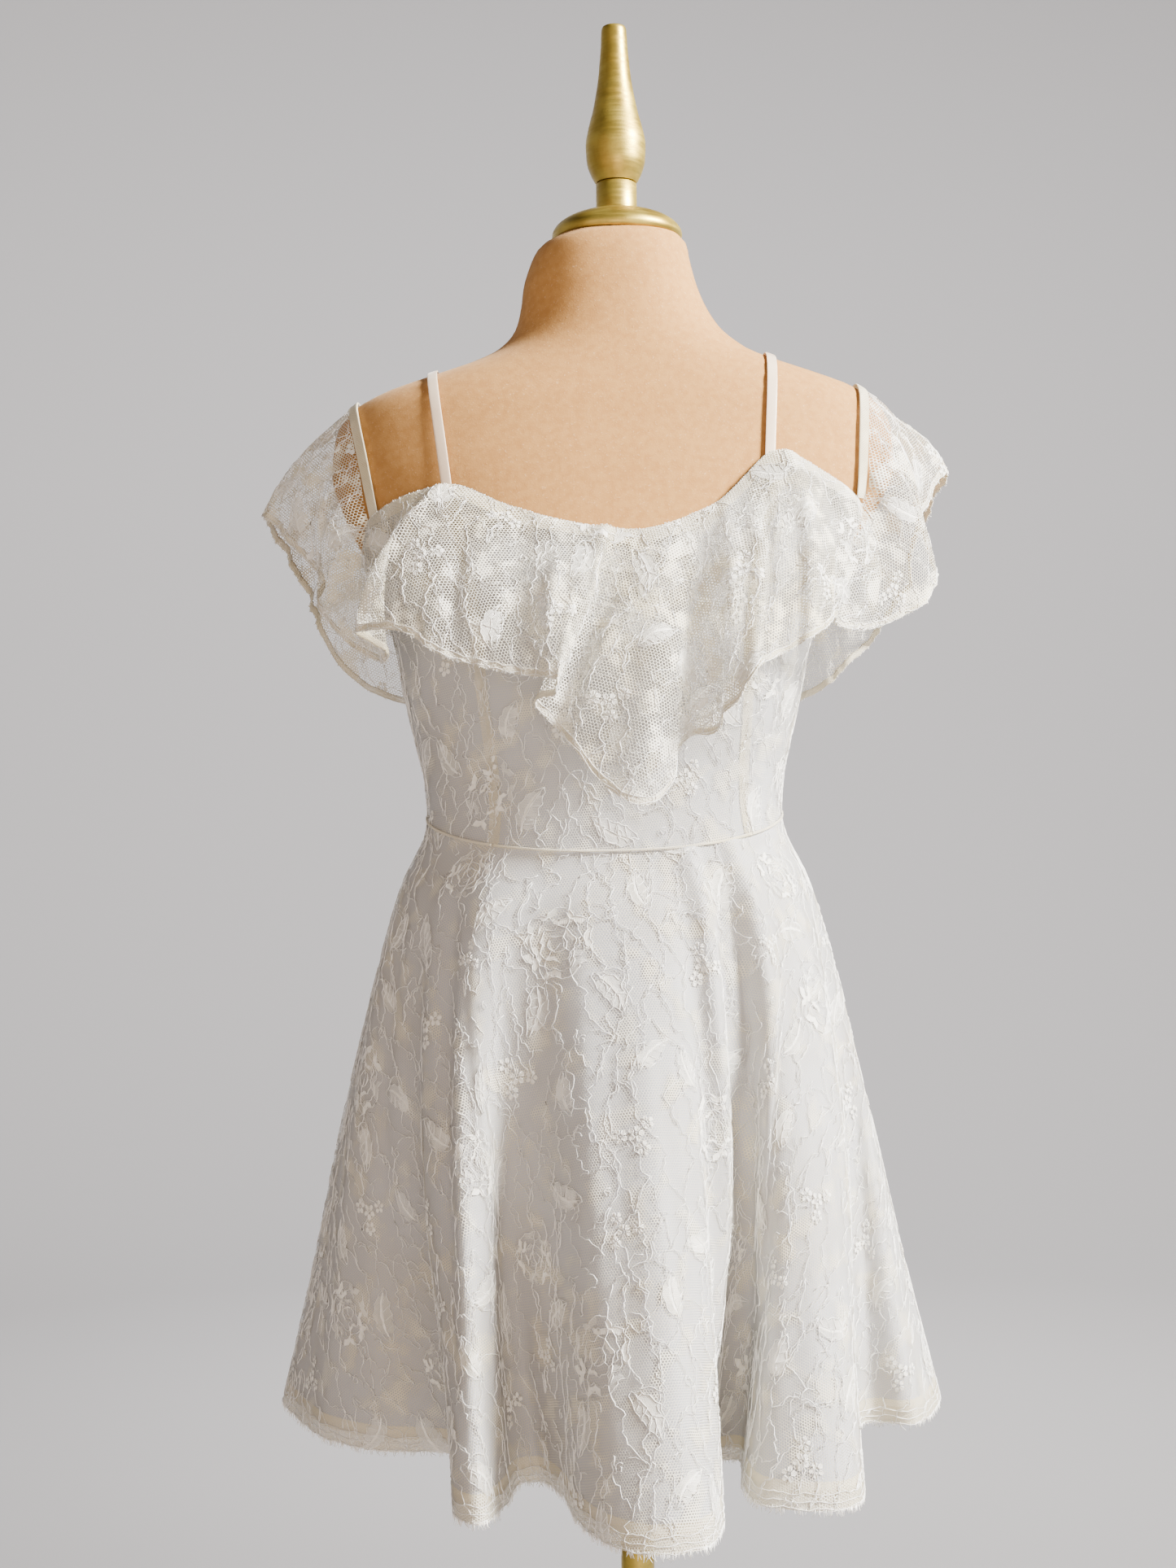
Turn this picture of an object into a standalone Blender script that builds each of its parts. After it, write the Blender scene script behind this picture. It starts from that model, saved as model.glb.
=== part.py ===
"""A short lace dress with a flounce, worn by a limbless dress form on a turned stand.

Metres, +Z up. The origin is the centre of the base's underside, on the pole's axis, and the
dress faces -Y. Left and right are the wearer's, so the wearer's left is +X.
"""

import math
from collections import namedtuple

import bmesh
import bpy
import numpy as np

# Stand and turned wood
BASE_RADIUS = 0.160
BASE_HEIGHT = 0.022
BASE_EDGE = 0.006
POLE_RADIUS = 0.0122
FORM_BOTTOM = 0.840
NECK_TOP = 1.4985
CAP_RADIUS = 0.0480
CAP_HEIGHT = 0.022
CAP_RIM = 0.004
CAP_FLAT = math.radians(18)
COLLAR_RADIUS = 0.0150
COLLAR_HEIGHT = 0.0210
TURNED_STEPS = 20

# Cloth layers, outward from the form
SEAT = 0.0003
FORM_CLEARANCE = 0.0017
RIBBON_CLEARANCE = 0.0018
LINING_WALL = 0.0010
LACE_WALL = 0.0010
LAYER_GAP = 0.0005
SEAM_GAP = 0.0003
LINING_OUT = FORM_CLEARANCE + LINING_WALL
LACE_OUT = LINING_OUT + LAYER_GAP

# Form
FORM_COLUMNS = 36
ROWS_BETWEEN = ((1.04, 1.14), (1.38, 1.45))
RING_POWER = 2.3

# Bodice
WAIST_SIDE = 1.078
WAIST_FRONT_DROP = 0.0235
BODICE_ROWS = 9

# Skirt
HEM_HEIGHT = 0.633
LINING_RISE = 0.009
SKIRT_CLEARANCE = 0.0065
SIDE_SEAM = -86.25
FRONT_COLUMNS = 56
BACK_COLUMNS = 42
WAIST_TILT = 0.0008
SKIRT_ROWS = (0.0, 0.1, 0.24, 0.44, 0.7, 1.0)
FLUTE_OUT_POWER = 1.1
FLUTE_IN_POWER = 1.8

# Flounce
FLOUNCE_OFF = LACE_OUT + LACE_WALL + SEAT + 0.5 * LACE_WALL
FLOUNCE_BULGE = 0.010
FLOUNCE_EASE = 0.004
FLOUNCE_SEAM = 0.0009
TOP_SHARE = 1.6
FLOUNCE_ROWS = 5
FRONT_CORNERS = (math.radians(-59.5), math.radians(61.5))
BACK_CORNERS = (math.radians(118), math.radians(237))
CORNER_BLEND = 0.030
SHOULDER_CLEARANCE = 0.0024

# Straps and shoulder bands
STRAP_WIDTH = 0.0075
STRAP_WALL = 0.0010
BAND_WIDTH = 0.0085
BAND_WALL = 0.0016
RIBBON_STEPS = 22
RIBBON_LIFT = 0.003
STRAP_LIFT = 0.0012
SLIDER_SIZE = (0.0115, 0.0060, 0.0014)

# The form's level sections: half width, depth before and behind the middle, and the middle's x
Ring = namedtuple("Ring", "height half_width front back middle_x")
FORM_RINGS = (
    Ring(0.840, 0.138, 0.094, 0.106, -0.016),
    Ring(0.862, 0.153, 0.106, 0.120, -0.016),
    Ring(0.900, 0.157, 0.110, 0.124, -0.016),
    Ring(0.950, 0.153, 0.106, 0.120, -0.016),
    Ring(1.000, 0.144, 0.100, 0.110, -0.016),
    Ring(1.040, 0.133, 0.096, 0.100, -0.016),
    Ring(1.080, 0.1262, 0.0955, 0.093, -0.016),
    Ring(1.105, 0.1282, 0.098, 0.092, -0.016),
    Ring(1.135, 0.1348, 0.107, 0.096, -0.016),
    Ring(1.165, 0.1415, 0.1180, 0.101, -0.016),
    Ring(1.200, 0.1480, 0.1252, 0.106, -0.015),
    Ring(1.235, 0.1600, 0.1215, 0.110, -0.014),
    Ring(1.270, 0.1780, 0.110, 0.111, -0.012),
    Ring(1.300, 0.1960, 0.101, 0.110, -0.008),
    Ring(1.330, 0.2060, 0.092, 0.106, -0.006),
    Ring(1.355, 0.2040, 0.084, 0.101, -0.005),
    Ring(1.372, 0.1955, 0.079, 0.097, -0.004),
    Ring(1.385, 0.1770, 0.074, 0.093, -0.002),
    Ring(1.397, 0.1440, 0.0695, 0.088, 0.000),
    Ring(1.407, 0.1130, 0.066, 0.083, 0.001),
    Ring(1.416, 0.0930, 0.063, 0.078, 0.001),
    Ring(1.432, 0.0756, 0.059, 0.071, -0.001),
    Ring(1.450, 0.0675, 0.0560, 0.065, -0.004),
    Ring(1.468, 0.0627, 0.0545, 0.061, -0.006),
    Ring(1.485, 0.0575, 0.0525, 0.057, -0.005),
    Ring(1.4925, 0.0545, 0.050, 0.054, -0.003),
    Ring(1.4985, 0.0470, 0.0460, 0.0470, 0.000),
)

# The skirt without its flutes, by height
SKIRT_RINGS = (
    Ring(0.633, 0.2360, 0.185, 0.222, -0.016),
    Ring(0.730, 0.2160, 0.166, 0.198, -0.016),
    Ring(0.838, 0.1960, 0.147, 0.172, -0.016),
    Ring(0.910, 0.1805, 0.132, 0.152, -0.016),
    Ring(0.982, 0.1630, 0.118, 0.132, -0.016),
    Ring(1.018, 0.1525, 0.110, 0.121, -0.016),
    Ring(1.054, 0.1385, 0.1005, 0.108, -0.016),
    Ring(1.080, 0.1283, 0.0976, 0.0951, -0.016),
)

# The bodice's upper edge: angle from the front towards the wearer's left, and height
EdgePoint = namedtuple("EdgePoint", "degrees height")
UPPER_EDGE = (
    EdgePoint(-180, 1.285),
    EdgePoint(-120, 1.290),
    EdgePoint(-101, 1.266),
    EdgePoint(-80, 1.266),
    EdgePoint(-59, 1.291),
    EdgePoint(-30.5, 1.308),
    EdgePoint(-18.6, 1.292),
    EdgePoint(-5.7, 1.278),
    EdgePoint(4.5, 1.272),
    EdgePoint(18, 1.289),
    EdgePoint(29.5, 1.329),
    EdgePoint(44, 1.315),
    EdgePoint(63, 1.296),
    EdgePoint(82, 1.268),
    EdgePoint(101, 1.266),
    EdgePoint(118, 1.290),
    EdgePoint(180, 1.285),
)

# The bodice's panels, round from the right side seam: the angles of their seams at the waist and
# at the upper edge, in degrees
Panel = namedtuple("Panel", "name waist_start waist_end top_start top_end columns")
PANELS = (
    Panel("bodice_side_front_right", -86.25, -33.75, -86.25, -30.5, 8),
    Panel("bodice_centre_front", -33.75, 48.75, -30.5, 29.5, 12),
    Panel("bodice_side_front_left", 48.75, 93.75, 29.5, 93.75, 10),
    Panel("bodice_back_left", 93.75, 183.75, 93.75, 183.75, 12),
    Panel("bodice_back_right", 183.75, 273.75, 183.75, 273.75, 12),
)

# The hem seen from above, from the wearer's right side seam across the front and round the
# back: distances from the torso's middle, in millimetres, flute by flute
HemPoint = namedtuple("HemPoint", "x y")
FRONT_HEM = (
    HemPoint(-237, 14),
    HemPoint(-207, -38),
    HemPoint(-169, -65),
    HemPoint(-116, -74),
    HemPoint(-97, -92),
    HemPoint(-104, -150),
    HemPoint(-103, -194),
    HemPoint(-87, -207),
    HemPoint(-73, -175),
    HemPoint(-64, -136),
    HemPoint(-50, -133),
    HemPoint(-35, -160),
    HemPoint(-24, -208),
    HemPoint(-5, -244),
    HemPoint(16, -260),
    HemPoint(40, -258),
    HemPoint(58, -244),
    HemPoint(64, -205),
    HemPoint(62, -150),
    HemPoint(68, -100),
    HemPoint(84, -96),
    HemPoint(84, -150),
    HemPoint(92, -180),
    HemPoint(124, -193),
    HemPoint(150, -189),
    HemPoint(161, -165),
    HemPoint(163, -105),
    HemPoint(168, -48),
    HemPoint(186, -22),
    HemPoint(216, -28),
    HemPoint(236, 0),
)
BACK_HEM = (
    HemPoint(248, 62),
    HemPoint(226, 108),
    HemPoint(174, 98),
    HemPoint(146, 120),
    HemPoint(168, 186),
    HemPoint(138, 222),
    HemPoint(88, 190),
    HemPoint(52, 158),
    HemPoint(32, 208),
    HemPoint(14, 250),
    HemPoint(-26, 252),
    HemPoint(-44, 206),
    HemPoint(-66, 160),
    HemPoint(-102, 182),
    HemPoint(-146, 222),
    HemPoint(-178, 186),
    HemPoint(-156, 118),
    HemPoint(-184, 92),
    HemPoint(-232, 100),
    HemPoint(-252, 58),
)

# Ribs of the flounce, from its sewn edge to its hem, in millimetres. "along" runs 0 to 1 across
# the front, to 2 over the left shoulder, to 3 across the back and to 4 over the right shoulder
Rib = namedtuple("Rib", "along x y z")
FLOUNCE_RIBS = (
    Rib(0.00, -170, -72, 1187),
    Rib(0.10, -166, -92, 1190),
    Rib(0.17, -180, -106, 1203),
    Rib(0.21, -168, -128, 1206),
    Rib(0.24, -150, -140, 1203),
    Rib(0.28, -128, -151, 1189),
    Rib(0.33, -100, -157, 1179),
    Rib(0.40, -70, -164, 1172),
    Rib(0.47, -46, -178, 1167),
    Rib(0.49, -52, -162, 1160),
    Rib(0.505, -62, -148, 1153),
    Rib(0.52, -50, -149, 1139),
    Rib(0.535, -37, -155, 1124),
    Rib(0.550, -17, -164, 1099),
    Rib(0.570, 8, -168, 1085),
    Rib(0.595, 26, -160, 1096),
    Rib(0.620, 40, -147, 1130),
    Rib(0.640, 55, -152, 1132),
    Rib(0.665, 68, -168, 1150),
    Rib(0.695, 85, -172, 1174),
    Rib(0.725, 104, -158, 1184),
    Rib(0.790, 130, -143, 1200),
    Rib(0.850, 142, -118, 1210),
    Rib(0.920, 150, -92, 1205),
    Rib(1.00, 172, -74, 1205),
    Rib(1.10, 204, -62, 1219),
    Rib(1.20, 224, -46, 1238),
    Rib(1.31, 218, -26, 1274),
    Rib(1.40, 222, -10, 1299),
    Rib(1.52, 243, 10, 1327),
    Rib(1.64, 240, 34, 1314),
    Rib(1.76, 226, 50, 1282),
    Rib(1.87, 222, 62, 1248),
    Rib(2.00, 206, 84, 1222),
    Rib(2.06, 196, 106, 1206),
    Rib(2.12, 180, 104, 1190),
    Rib(2.20, 152, 116, 1168),
    Rib(2.28, 122, 144, 1160),
    Rib(2.36, 96, 124, 1166),
    Rib(2.44, 68, 152, 1155),
    Rib(2.50, 38, 128, 1160),
    Rib(2.56, 8, 156, 1150),
    Rib(2.62, -22, 130, 1156),
    Rib(2.68, -52, 154, 1152),
    Rib(2.74, -82, 126, 1160),
    Rib(2.80, -112, 146, 1156),
    Rib(2.87, -142, 122, 1164),
    Rib(2.93, -176, 116, 1167),
    Rib(2.97, -213, 108, 1186),
    Rib(3.00, -238, 90, 1226),
    Rib(3.15, -240, 62, 1246),
    Rib(3.35, -256, 34, 1280),
    Rib(3.52, -265, 4, 1303),
    Rib(3.68, -244, -18, 1280),
    Rib(3.78, -218, -30, 1252),
    Rib(3.88, -216, -48, 1226),
    Rib(3.95, -192, -60, 1198),
)
FLOUNCE_PARTS = (
    ("flounce_front", 0, 1, 48),
    ("flounce_left_shoulder", 1, 2, 18),
    ("flounce_back", 2, 3, 34),
    ("flounce_right_shoulder", 3, 4, 18),
)

# Ribbons over the shoulders: x at the two ends and at the top, and the heights of both ends
Ribbon = namedtuple("Ribbon", "name front_x top_x back_x")
STRAPS = (
    Ribbon("strap_left", 0.102, 0.108, 0.098),
    Ribbon("strap_right", -0.122, -0.135, -0.112),
)
BANDS = (
    Ribbon("shoulder_band_left", 0.168, 0.174, 0.164),
    Ribbon("shoulder_band_right", -0.176, -0.193, -0.172),
)

# The finial's outline: height above the collar and radius
Turn = namedtuple("Turn", "height radius")
FINIAL = (
    Turn(0.1155, 0.0076),
    Turn(0.1125, 0.0092),
    Turn(0.1000, 0.0099),
    Turn(0.0880, 0.0110),
    Turn(0.0760, 0.0123),
    Turn(0.0640, 0.0143),
    Turn(0.0520, 0.0168),
    Turn(0.0400, 0.0200),
    Turn(0.0280, 0.0221),
    Turn(0.0160, 0.0215),
    Turn(0.0060, 0.0185),
    Turn(0.0000, 0.0152),
)


def monotone(xs, ys, x):
    """Values at x of a smooth curve through (xs, ys) that never swings past its points."""
    xs, ys = np.asarray(xs, float), np.asarray(ys, float)
    step = np.diff(xs)
    rise = np.diff(ys) / step
    slope = np.zeros_like(ys)
    same = rise[:-1] * rise[1:] > 0
    slope[1:-1][same] = 2 * rise[:-1][same] * rise[1:][same] / (rise[:-1] + rise[1:])[same]
    slope[0], slope[-1] = rise[0], rise[-1]
    x = np.clip(x, xs[0], xs[-1])
    i = np.clip(np.searchsorted(xs, x) - 1, 0, len(step) - 1)
    t = (x - xs[i]) / step[i]
    return (
        ys[i] * (1 + 2 * t) * (1 - t) ** 2
        + ys[i + 1] * (3 - 2 * t) * t**2
        + step[i] * (slope[i] * t * (1 - t) ** 2 - slope[i + 1] * t**2 * (1 - t))
    )


def ring_sizes(rings, height):
    """Half width, front depth, back depth and middle at a height."""
    heights = [ring.height for ring in rings]
    return [
        monotone(heights, [getattr(ring, name) for ring in rings], height)
        for name in ("half_width", "front", "back", "middle_x")
    ]


def ring_point(rings, height, angle):
    """A point on the rings' surface, for arrays of heights and angles."""
    half, front, back, middle = ring_sizes(rings, height)
    power = 2 / RING_POWER
    across = np.sign(np.sin(angle)) * np.abs(np.sin(angle)) ** power
    ahead = np.sign(np.cos(angle)) * np.abs(np.cos(angle)) ** power
    depth = np.where(ahead > 0, front, back)
    return np.stack([middle + half * across, -depth * ahead, height + 0 * across], axis=-1)


def normals(grid):
    """Unit normals of a grid of points whose columns run round and whose rows run down."""
    along = np.gradient(grid, axis=1)
    down = np.gradient(grid, axis=0)
    normal = np.cross(down, along)
    return normal / np.linalg.norm(normal, axis=-1, keepdims=True)


def form_normal(height, angle):
    """The form's outward normal, for arrays of heights and angles."""
    turn, lift = 0.01, 0.001
    along = ring_point(FORM_RINGS, height, angle + turn) - ring_point(FORM_RINGS, height, angle - turn)
    up = ring_point(FORM_RINGS, height + lift, angle) - ring_point(FORM_RINGS, height - lift, angle)
    normal = np.cross(along, up)
    return normal / np.linalg.norm(normal, axis=-1, keepdims=True)


def on_form(height, angle, out):
    """A point at a distance out from the form's surface."""
    return ring_point(FORM_RINGS, height, angle) + out * form_normal(height, angle)


def clear_of_form(points, out):
    """The points, with those nearer than out to the form moved straight away from its middle."""
    half, front, back, middle = ring_sizes(FORM_RINGS, points[..., 2])
    x, y = points[..., 0] - middle, points[..., 1]
    depth = np.where(y < 0, front, back)
    reach = (np.abs(x / (half + out)) ** RING_POWER + np.abs(y / (depth + out)) ** RING_POWER) ** (
        1 / RING_POWER
    )
    push = np.where((reach < 1) & (points[..., 2] > FORM_BOTTOM - 0.03), 1 / np.maximum(reach, 0.3), 1)
    moved = points.copy()
    moved[..., 0] = middle + x * push
    moved[..., 1] = y * push
    return moved


def waist_height(angle):
    """The waist seam's height, lowest at the front."""
    return WAIST_SIDE - WAIST_FRONT_DROP * np.maximum(np.cos(angle), 0) ** 1.1


def upper_edge(angle):
    """The height of the bodice's upper edge."""
    degrees = (np.degrees(angle) + 180) % 360 - 180
    return monotone([p.degrees for p in UPPER_EDGE], [p.height for p in UPPER_EDGE], degrees)


def closed_spline(points, per_span=24):
    """A smooth closed curve through the points, and each of its points' place in the list."""
    points = np.asarray(points, float)
    count = len(points)
    chord = np.linalg.norm(np.roll(points, -1, axis=0) - points, axis=1) ** 0.5
    before = np.roll(chord, 1)[:, None]
    after = chord[:, None]
    slope = (
        (points - np.roll(points, 1, axis=0)) / before * after
        + (np.roll(points, -1, axis=0) - points) / after * before
    ) / (before + after)
    curve, place = [], []
    for i in range(count):
        j = (i + 1) % count
        t = np.linspace(0, 1, per_span, endpoint=False)[:, None]
        curve.append(
            points[i] * (1 + 2 * t) * (1 - t) ** 2
            + points[j] * (3 - 2 * t) * t**2
            + chord[i] * (slope[i] * t * (1 - t) ** 2 - slope[j] * t**2 * (1 - t))
        )
        place.append(i + t[:, 0])
    curve.append(points[:1])
    place.append(np.array([float(count)]))
    return np.concatenate(curve), np.concatenate(place)


def arc_length(curve):
    """The length of a curve up to each of its points."""
    return np.concatenate([[0], np.cumsum(np.linalg.norm(np.diff(curve, axis=0), axis=1))])


def evenly(curve, count):
    """The curve at count + 1 points evenly spaced along it."""
    length = arc_length(curve)
    at = np.linspace(0, length[-1], count + 1)
    return np.stack([np.interp(at, length, curve[:, k]) for k in range(curve.shape[1])], axis=1)


def trim_ends(grid, gap=SEAM_GAP):
    """The grid with its two side edges drawn in by half a seam's gap."""
    grid = grid.copy()
    for edge, beside in ((0, 1), (-1, -2)):
        way = grid[:, beside] - grid[:, edge]
        down = np.gradient(grid[:, edge], axis=0)
        down /= np.linalg.norm(down, axis=-1, keepdims=True)
        way -= np.sum(way * down, axis=-1, keepdims=True) * down
        grid[:, edge] += way / np.linalg.norm(way, axis=-1, keepdims=True) * gap / 2
    return grid


def material(name, colour, roughness, metallic=0.0):
    """A Principled material with one colour."""
    made = bpy.data.materials.new(name)
    made.use_nodes = True
    shader = made.node_tree.nodes["Principled BSDF"]
    shader.inputs["Base Color"].default_value = (*colour, 1)
    shader.inputs["Roughness"].default_value = roughness
    shader.inputs["Metallic"].default_value = metallic
    return made


def add_object(name, mesh, finish, group):
    """An object of the mesh, in the group and with its finish."""
    made = bpy.data.objects.new(name, mesh)
    mesh.materials.append(finish)
    group.objects.link(made)
    return made


def sheet(name, grid, wall, side, finish, group):
    """A wall on a grid of points. side is 1 to grow outward, -1 inward and 0 both ways."""
    rows, columns = grid.shape[:2]
    faces = [
        (r * columns + c, (r + 1) * columns + c, (r + 1) * columns + c + 1, r * columns + c + 1)
        for r in range(rows - 1)
        for c in range(columns - 1)
    ]
    mesh = bpy.data.meshes.new(name)
    mesh.from_pydata(grid.reshape(-1, 3).tolist(), [], faces)
    mesh.shade_smooth()
    made = add_object(name, mesh, finish, group)
    thickness = made.modifiers.new("Wall", "SOLIDIFY")
    thickness.thickness = wall
    thickness.offset = side
    return made


def turned(name, profile, finish, group, middle=(0.0, 0.0)):
    """A solid of revolution from (radius, height) points that run from top to bottom."""
    mesh = bpy.data.meshes.new(name)
    points = [(0, 0, profile[0][1])] + [(r, 0, z) for r, z in profile] + [(0, 0, profile[-1][1])]
    mesh.from_pydata(points, [(i, i + 1) for i in range(len(points) - 1)], [])
    made = add_object(name, mesh, finish, group)
    made.location = (*middle, 0)
    screw = made.modifiers.new("Turn", "SCREW")
    screw.steps = TURNED_STEPS
    screw.render_steps = TURNED_STEPS
    screw.use_merge_vertices = True
    screw.merge_threshold = 0.0001
    return made


def build_stand(gold, group):
    """The weighted base and the pole that carries the form."""
    edge = BASE_EDGE
    rounded = [
        (BASE_RADIUS - edge + edge * math.sin(a), BASE_HEIGHT - edge + edge * math.cos(a))
        for a in np.radians((0, 30, 60, 90))
    ]
    turned("base", rounded + [(BASE_RADIUS, 0.001), (BASE_RADIUS - 0.001, 0)], gold, group)
    pole_top, pole_foot = FORM_BOTTOM - SEAT, BASE_HEIGHT + SEAT
    turned("pole", [(POLE_RADIUS, pole_top), (POLE_RADIUS, pole_foot)], gold, group)


def build_neck_wood(gold, group):
    """The cap on the neck, its collar and the finial."""
    foot = NECK_TOP + SEAT
    rise = (CAP_HEIGHT - CAP_RIM) / math.cos(CAP_FLAT)
    dome = [
        (CAP_RADIUS * math.sin(a), foot + CAP_RIM + rise * math.cos(a))
        for a in np.linspace(CAP_FLAT, math.pi / 2, 5)
    ]
    turned("neck_cap", dome + [(CAP_RADIUS - 0.001, foot + 0.001), (CAP_RADIUS - 0.003, foot)], gold, group)
    foot += CAP_HEIGHT + SEAT
    collar = [(COLLAR_RADIUS - 0.001, foot + COLLAR_HEIGHT), (COLLAR_RADIUS, foot + COLLAR_HEIGHT - 0.001)]
    turned("finial_collar", collar + [(COLLAR_RADIUS, foot)], gold, group)
    foot += COLLAR_HEIGHT + SEAT
    turned("finial", [(turn.radius, foot + turn.height) for turn in FINIAL], gold, group)


def build_form(jersey, group):
    """The padded torso, lofted through its level sections."""
    heights = [ring.height for ring in FORM_RINGS]
    halfway = [(low + high) / 2 for low, high in zip(heights, heights[1:])]
    heights += [h for h in halfway if any(low < h < high for low, high in ROWS_BETWEEN)]
    heights = np.array(sorted(heights))
    angles = 2 * math.pi / FORM_COLUMNS * np.arange(FORM_COLUMNS)
    grid = ring_point(FORM_RINGS, heights[:, None], angles[None, :])
    shape = bmesh.new()
    rings = [[shape.verts.new(point) for point in row] for row in grid]
    for low, high in zip(rings, rings[1:]):
        for i in range(FORM_COLUMNS):
            j = (i + 1) % FORM_COLUMNS
            shape.faces.new((low[i], low[j], high[j], high[i]))
    shape.faces.new(list(reversed(rings[0])))
    shape.faces.new(rings[-1])
    mesh = bpy.data.meshes.new("form_body")
    shape.to_mesh(mesh)
    shape.free()
    mesh.shade_smooth()
    mesh.set_sharp_from_angle(angle=math.radians(50))
    add_object("form_body", mesh, jersey, group)


def bodice_grid(panels, out):
    """The points of neighbouring panels, at a distance out from the form."""
    steps = [np.linspace(0, 1, panel.columns + 1)[int(i > 0) :] for i, panel in enumerate(panels)]
    low_angle, high_angle = (
        np.radians(np.concatenate([start + (end - start) * step for start, end, step in ends]))
        for ends in (
            [(p.waist_start, p.waist_end, step) for p, step in zip(panels, steps)],
            [(p.top_start, p.top_end, step) for p, step in zip(panels, steps)],
        )
    )
    share = np.linspace(0, 1, BODICE_ROWS + 1)[:, None]
    angle = high_angle + (low_angle - high_angle) * share
    high = upper_edge(high_angle) - SEAM_GAP / 2
    low = waist_height(low_angle) + SEAM_GAP / 2
    return trim_ends(on_form(high + (low - high) * share, angle, out))


def build_bodice(lace, lining, group):
    """Five lace panels over a lining of a front and a back."""
    for panel in PANELS:
        sheet(panel.name, bodice_grid([panel], LACE_OUT), LACE_WALL, 1, lace, group)
    for name, panels in (("lining_bodice_front", PANELS[:3]), ("lining_bodice_back", PANELS[3:])):
        sheet(name, bodice_grid(panels, FORM_CLEARANCE), LINING_WALL, 1, lining, group)


def skirt_columns():
    """The hem's points and the waist angles that they hang from, for the front and the back."""
    points = [(p.x / 1000, p.y / 1000) for p in FRONT_HEM + BACK_HEM]
    curve, place = closed_spline(points)
    split = len(FRONT_HEM) - 1
    front, back = place <= split, place >= split
    halves = []
    for chosen, start, count in (
        (front, SIDE_SEAM, FRONT_COLUMNS),
        (back, SIDE_SEAM + 180, BACK_COLUMNS),
    ):
        angles = np.radians(np.linspace(start, start + 180, count + 1))
        halves.append((evenly(curve[chosen], count), angles))
    return halves


def skirt_grid(hem, angle):
    """The skirt's points midway between lace and lining, from the waist seam to the hem."""
    top = waist_height(angle) - SEAM_GAP / 2 - WAIST_TILT
    fall = np.array(SKIRT_ROWS)[:, None]
    height = top + (HEM_HEIGHT - top) * fall
    plain = ring_point(SKIRT_RINGS, height, angle[None, :])
    plain[0] = on_form(height[0], angle, LINING_OUT + LAYER_GAP / 2)
    foot = plain[-1, :, :2]
    middle = np.array([SKIRT_RINGS[0].middle_x, 0])
    flute = hem + middle - foot
    outward = np.linalg.norm(hem, axis=1) - np.linalg.norm(foot - middle, axis=1)
    lean = np.clip(outward / 0.05, -1, 1)
    power = (FLUTE_OUT_POWER + FLUTE_IN_POWER) / 2 + lean * (FLUTE_OUT_POWER - FLUTE_IN_POWER) / 2
    plain[..., :2] += fall[..., None] ** power[None, :, None] * flute
    plain[1:] = clear_of_form(plain[1:], SKIRT_CLEARANCE)
    return trim_ends(plain)


def build_skirt(lace, lining, group):
    """Front and back skirts of lace, each over its own lining."""
    for side, (hem, angle) in zip(("front", "back"), skirt_columns()):
        grid = skirt_grid(hem, angle)
        gap = LAYER_GAP / 2 * normals(grid)
        sheet("skirt_" + side, grid + gap, LACE_WALL, 1, lace, group)
        inner = grid - gap
        span = inner[-1] - inner[-2]
        inner[-1] += span * LINING_RISE / span[:, 2:]
        sheet("lining_skirt_" + side, inner, LINING_WALL, -1, lining, group)


def shoulder_top(x):
    """The height at which the form's shoulder line passes x."""
    low, high = 1.34, 1.45
    for _ in range(40):
        middle = (low + high) / 2
        half, _, _, centre = ring_sizes(FORM_RINGS, np.array(middle))
        low, high = (middle, high) if abs(x - centre) < half else (low, middle)
    return low


def over_shoulder(ribbon, front_height, back_height, steps):
    """A path over the shoulder from front to back, with the form's normals on it."""
    path, facing = [], []
    for turn in np.linspace(0, math.pi, steps + 1):
        end_x, end_height = (
            (ribbon.front_x, front_height) if turn < math.pi / 2 else (ribbon.back_x, back_height)
        )
        x = end_x + (ribbon.top_x - end_x) * math.sin(turn)
        top = shoulder_top(x)
        height = np.array(top - (top - end_height) * (1 - math.sin(turn)))
        half, _, _, centre = ring_sizes(FORM_RINGS, height)
        share = min(abs(x - centre) / half, 1.0) ** (RING_POWER / 2)
        angle = math.asin(share)
        if turn > math.pi / 2:
            angle = math.pi - angle
        angle = math.copysign(angle, x)
        path.append(ring_point(FORM_RINGS, height, angle))
        facing.append(form_normal(height, angle))
    path, facing = np.array(path), np.array(facing)
    length = arc_length(path)
    at = np.linspace(0, length[-1], steps + 1)
    path, facing = (
        np.stack([np.interp(at, length, values[:, k]) for k in range(3)], axis=1)
        for values in (path, facing)
    )
    return path, facing / np.linalg.norm(facing, axis=1, keepdims=True)


def ribbon_sides(path, facing, width):
    """The two edges of a ribbon that lies on the form along a path."""
    way = np.gradient(path, axis=0)
    across = np.cross(way, facing)
    across = across / np.linalg.norm(across, axis=1, keepdims=True) * width / 2
    return path - across, path + across


def edge_height_at(x, back):
    """The bodice's upper edge where it passes x, on the front or on the back."""
    angles = np.radians(np.linspace(91, 269, 400) if back else np.linspace(-89, 89, 400))
    points = ring_point(FORM_RINGS, upper_edge(angles), angles)
    return points[np.argmin(np.abs(points[:, 0] - x)), 2]


def ribbon_path(ribbon):
    """A ribbon's path, whose ends stop just above the bodice's upper edge."""
    if ribbon in BANDS:
        left = ribbon.top_x > 0
        front, back = (
            float(np.max(upper_edge(corner(left, behind) + np.radians((-9, 0, 9))))) + RIBBON_LIFT
            for behind in (False, True)
        )
    else:
        front = edge_height_at(ribbon.front_x, False) + STRAP_LIFT
        back = edge_height_at(ribbon.back_x, True) + STRAP_LIFT
    return over_shoulder(ribbon, front, back, RIBBON_STEPS)


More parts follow.
